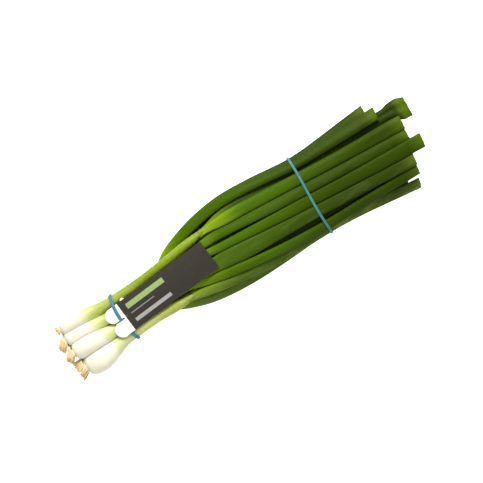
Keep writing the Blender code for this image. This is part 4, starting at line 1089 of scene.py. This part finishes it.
class ONION_OT_leaves(bpy.types.Operator):
    """Build the hollow leaves with their cut ends"""

    bl_idname = "onion.leaves"
    bl_label = "Build Leaves"

    def execute(self, context):
        settings = context.scene.onion_leaves
        material = leaf_material(settings)
        for letter, count in LEAF_COUNTS.items():
            for number in range(1, count + 1):
                build_leaf(letter, number, settings, material)
        return {"FINISHED"}


class ONION_OT_roots(bpy.types.Operator):
    """Build the trimmed root tufts"""

    bl_idname = "onion.roots"
    bl_label = "Build Roots"

    def execute(self, context):
        settings = context.scene.onion_roots
        material = root_material(settings)
        for letter in STEM_NAMES:
            build_roots(letter, settings, material)
        return {"FINISHED"}


class ONION_OT_bands(bpy.types.Operator):
    """Build the two rubber bands"""

    bl_idname = "onion.bands"
    bl_label = "Build Bands"

    def execute(self, context):
        settings = context.scene.onion_bands
        lower = rubber_material("blue rubber", settings.lower)
        upper = rubber_material("teal rubber", settings.upper)
        build_band("band_lower", "rubber_lower", LOWER_WIDTH, settings.steps, lower)
        build_band("band_upper", "rubber_upper", UPPER_WIDTH, settings.steps, upper)
        return {"FINISHED"}


class ONION_OT_tag(bpy.types.Operator):
    """Build the card tag"""

    bl_idname = "onion.tag"
    bl_label = "Build Tag"

    def execute(self, context):
        settings = context.scene.onion_tag
        build_tag(settings, tag_material(settings))
        return {"FINISHED"}


# Stage

KEY_POWER = 52.0
FILL_POWER = 9.0
SKY_STRENGTH = 0.53
FLOOR_HALF = 8.0
FLOOR_DROP = 0.4 * MM
CAMERA_PLACE = (-0.9 * MM, 0.3 * MM)
PICTURE_HEIGHT = 15.0 * MM


def area_light(name, place, size, power):
    """A soft square light that points at the middle of the bunch."""
    data = bpy.data.lights.new(name, "AREA")
    data.energy = power
    data.size = size
    lamp = bpy.data.objects.new(name, data)
    lamp.location = place
    lamp.rotation_euler = (-Vector(place)).to_track_quat("-Z", "Y").to_euler()
    bpy.context.scene.collection.objects.link(lamp)


class ONION_OT_stage(bpy.types.Operator):
    """Set up the pale floor, the soft lights and the camera"""

    bl_idname = "onion.stage"
    bl_label = "Set Up Stage"

    def execute(self, context):
        settings = context.scene.onion_stage
        scene = context.scene
        bm = bmesh.new()
        bmesh.ops.create_grid(bm, x_segments=1, y_segments=1, size=FLOOR_HALF)
        bmesh.ops.translate(bm, verts=bm.verts, vec=(0.0, 0.0, -FLOOR_DROP))
        floor = object_from(bm, "floor")
        material, tree, shader = start_material("pale floor")
        cover(tree, shader, linear(settings.floor), 0.9, 0.1)
        shader.inputs["Emission Color"].default_value = WHITE
        seen = put(tree, "ShaderNodeLightPath").outputs["Is Camera Ray"]
        tree.links.new(seen, shader.inputs["Emission Strength"])
        floor.data.materials.append(material)
        turn = settings.turn
        right = Vector((math.cos(turn), -math.sin(turn), 0.0))
        up = Vector((math.sin(turn), math.cos(turn), 0.0))
        area_light("key", up * 1.5 - right * 0.5 + Vector((0.0, 0.0, 1.4)), 0.8, KEY_POWER)
        area_light("fill", -up * 1.5 + right * 0.4 + Vector((0.0, 0.0, 1.3)), 1.6, FILL_POWER)
        world = bpy.data.worlds.new("studio")
        world.use_nodes = True
        sky = world.node_tree.nodes["Background"].inputs
        sky["Color"].default_value = WHITE
        sky["Strength"].default_value = SKY_STRENGTH
        scene.world = world
        scene.view_settings.view_transform = "Standard"
        camera_data = bpy.data.cameras.new("camera")
        camera_data.lens = settings.lens
        distance = settings.lens / camera_data.sensor_width * settings.view_width
        camera = bpy.data.objects.new("camera", camera_data)
        camera.location = (*CAMERA_PLACE, distance + PICTURE_HEIGHT)
        camera.rotation_euler = (0.0, 0.0, -turn)
        scene.collection.objects.link(camera)
        scene.camera = camera
        return {"FINISHED"}


# Panel and registration

class ONION_PT_bunch(bpy.types.Panel):
    """The steps that dress the bunch"""

    bl_idname = "ONION_PT_bunch"
    bl_label = "Spring Onion Bunch"
    bl_space_type = "VIEW_3D"
    bl_region_type = "UI"
    bl_category = "Spring Onions"

    def draw(self, context):
        for step in STEPS:
            self.layout.operator(step.bl_idname)


SETTINGS = {
    "onion_stems": StemSettings, "onion_leaves": LeafSettings, "onion_roots": RootSettings,
    "onion_bands": BandSettings, "onion_tag": TagSettings, "onion_stage": StageSettings,
}
STEPS = (ONION_OT_stems, ONION_OT_leaves, ONION_OT_roots, ONION_OT_bands, ONION_OT_tag, ONION_OT_stage)


def register():
    for kind in SETTINGS.values():
        bpy.utils.register_class(kind)
    for name, kind in SETTINGS.items():
        setattr(bpy.types.Scene, name, bpy.props.PointerProperty(type=kind))
    for kind in (*STEPS, ONION_PT_bunch):
        bpy.utils.register_class(kind)


def unregister():
    for kind in (ONION_PT_bunch, *reversed(STEPS)):
        bpy.utils.unregister_class(kind)
    for name, kind in SETTINGS.items():
        delattr(bpy.types.Scene, name)
        bpy.utils.unregister_class(kind)


def main():
    register()
    for make_group in (vein_group, bloom_and_sheen_group, mottle_group, rub_group):
        make_group()
    bpy.ops.onion.stems()
    bpy.ops.onion.leaves()
    bpy.ops.onion.roots()
    bpy.ops.onion.bands()
    bpy.ops.onion.tag()
    bpy.ops.onion.stage()


if __name__ == "__main__":
    main()
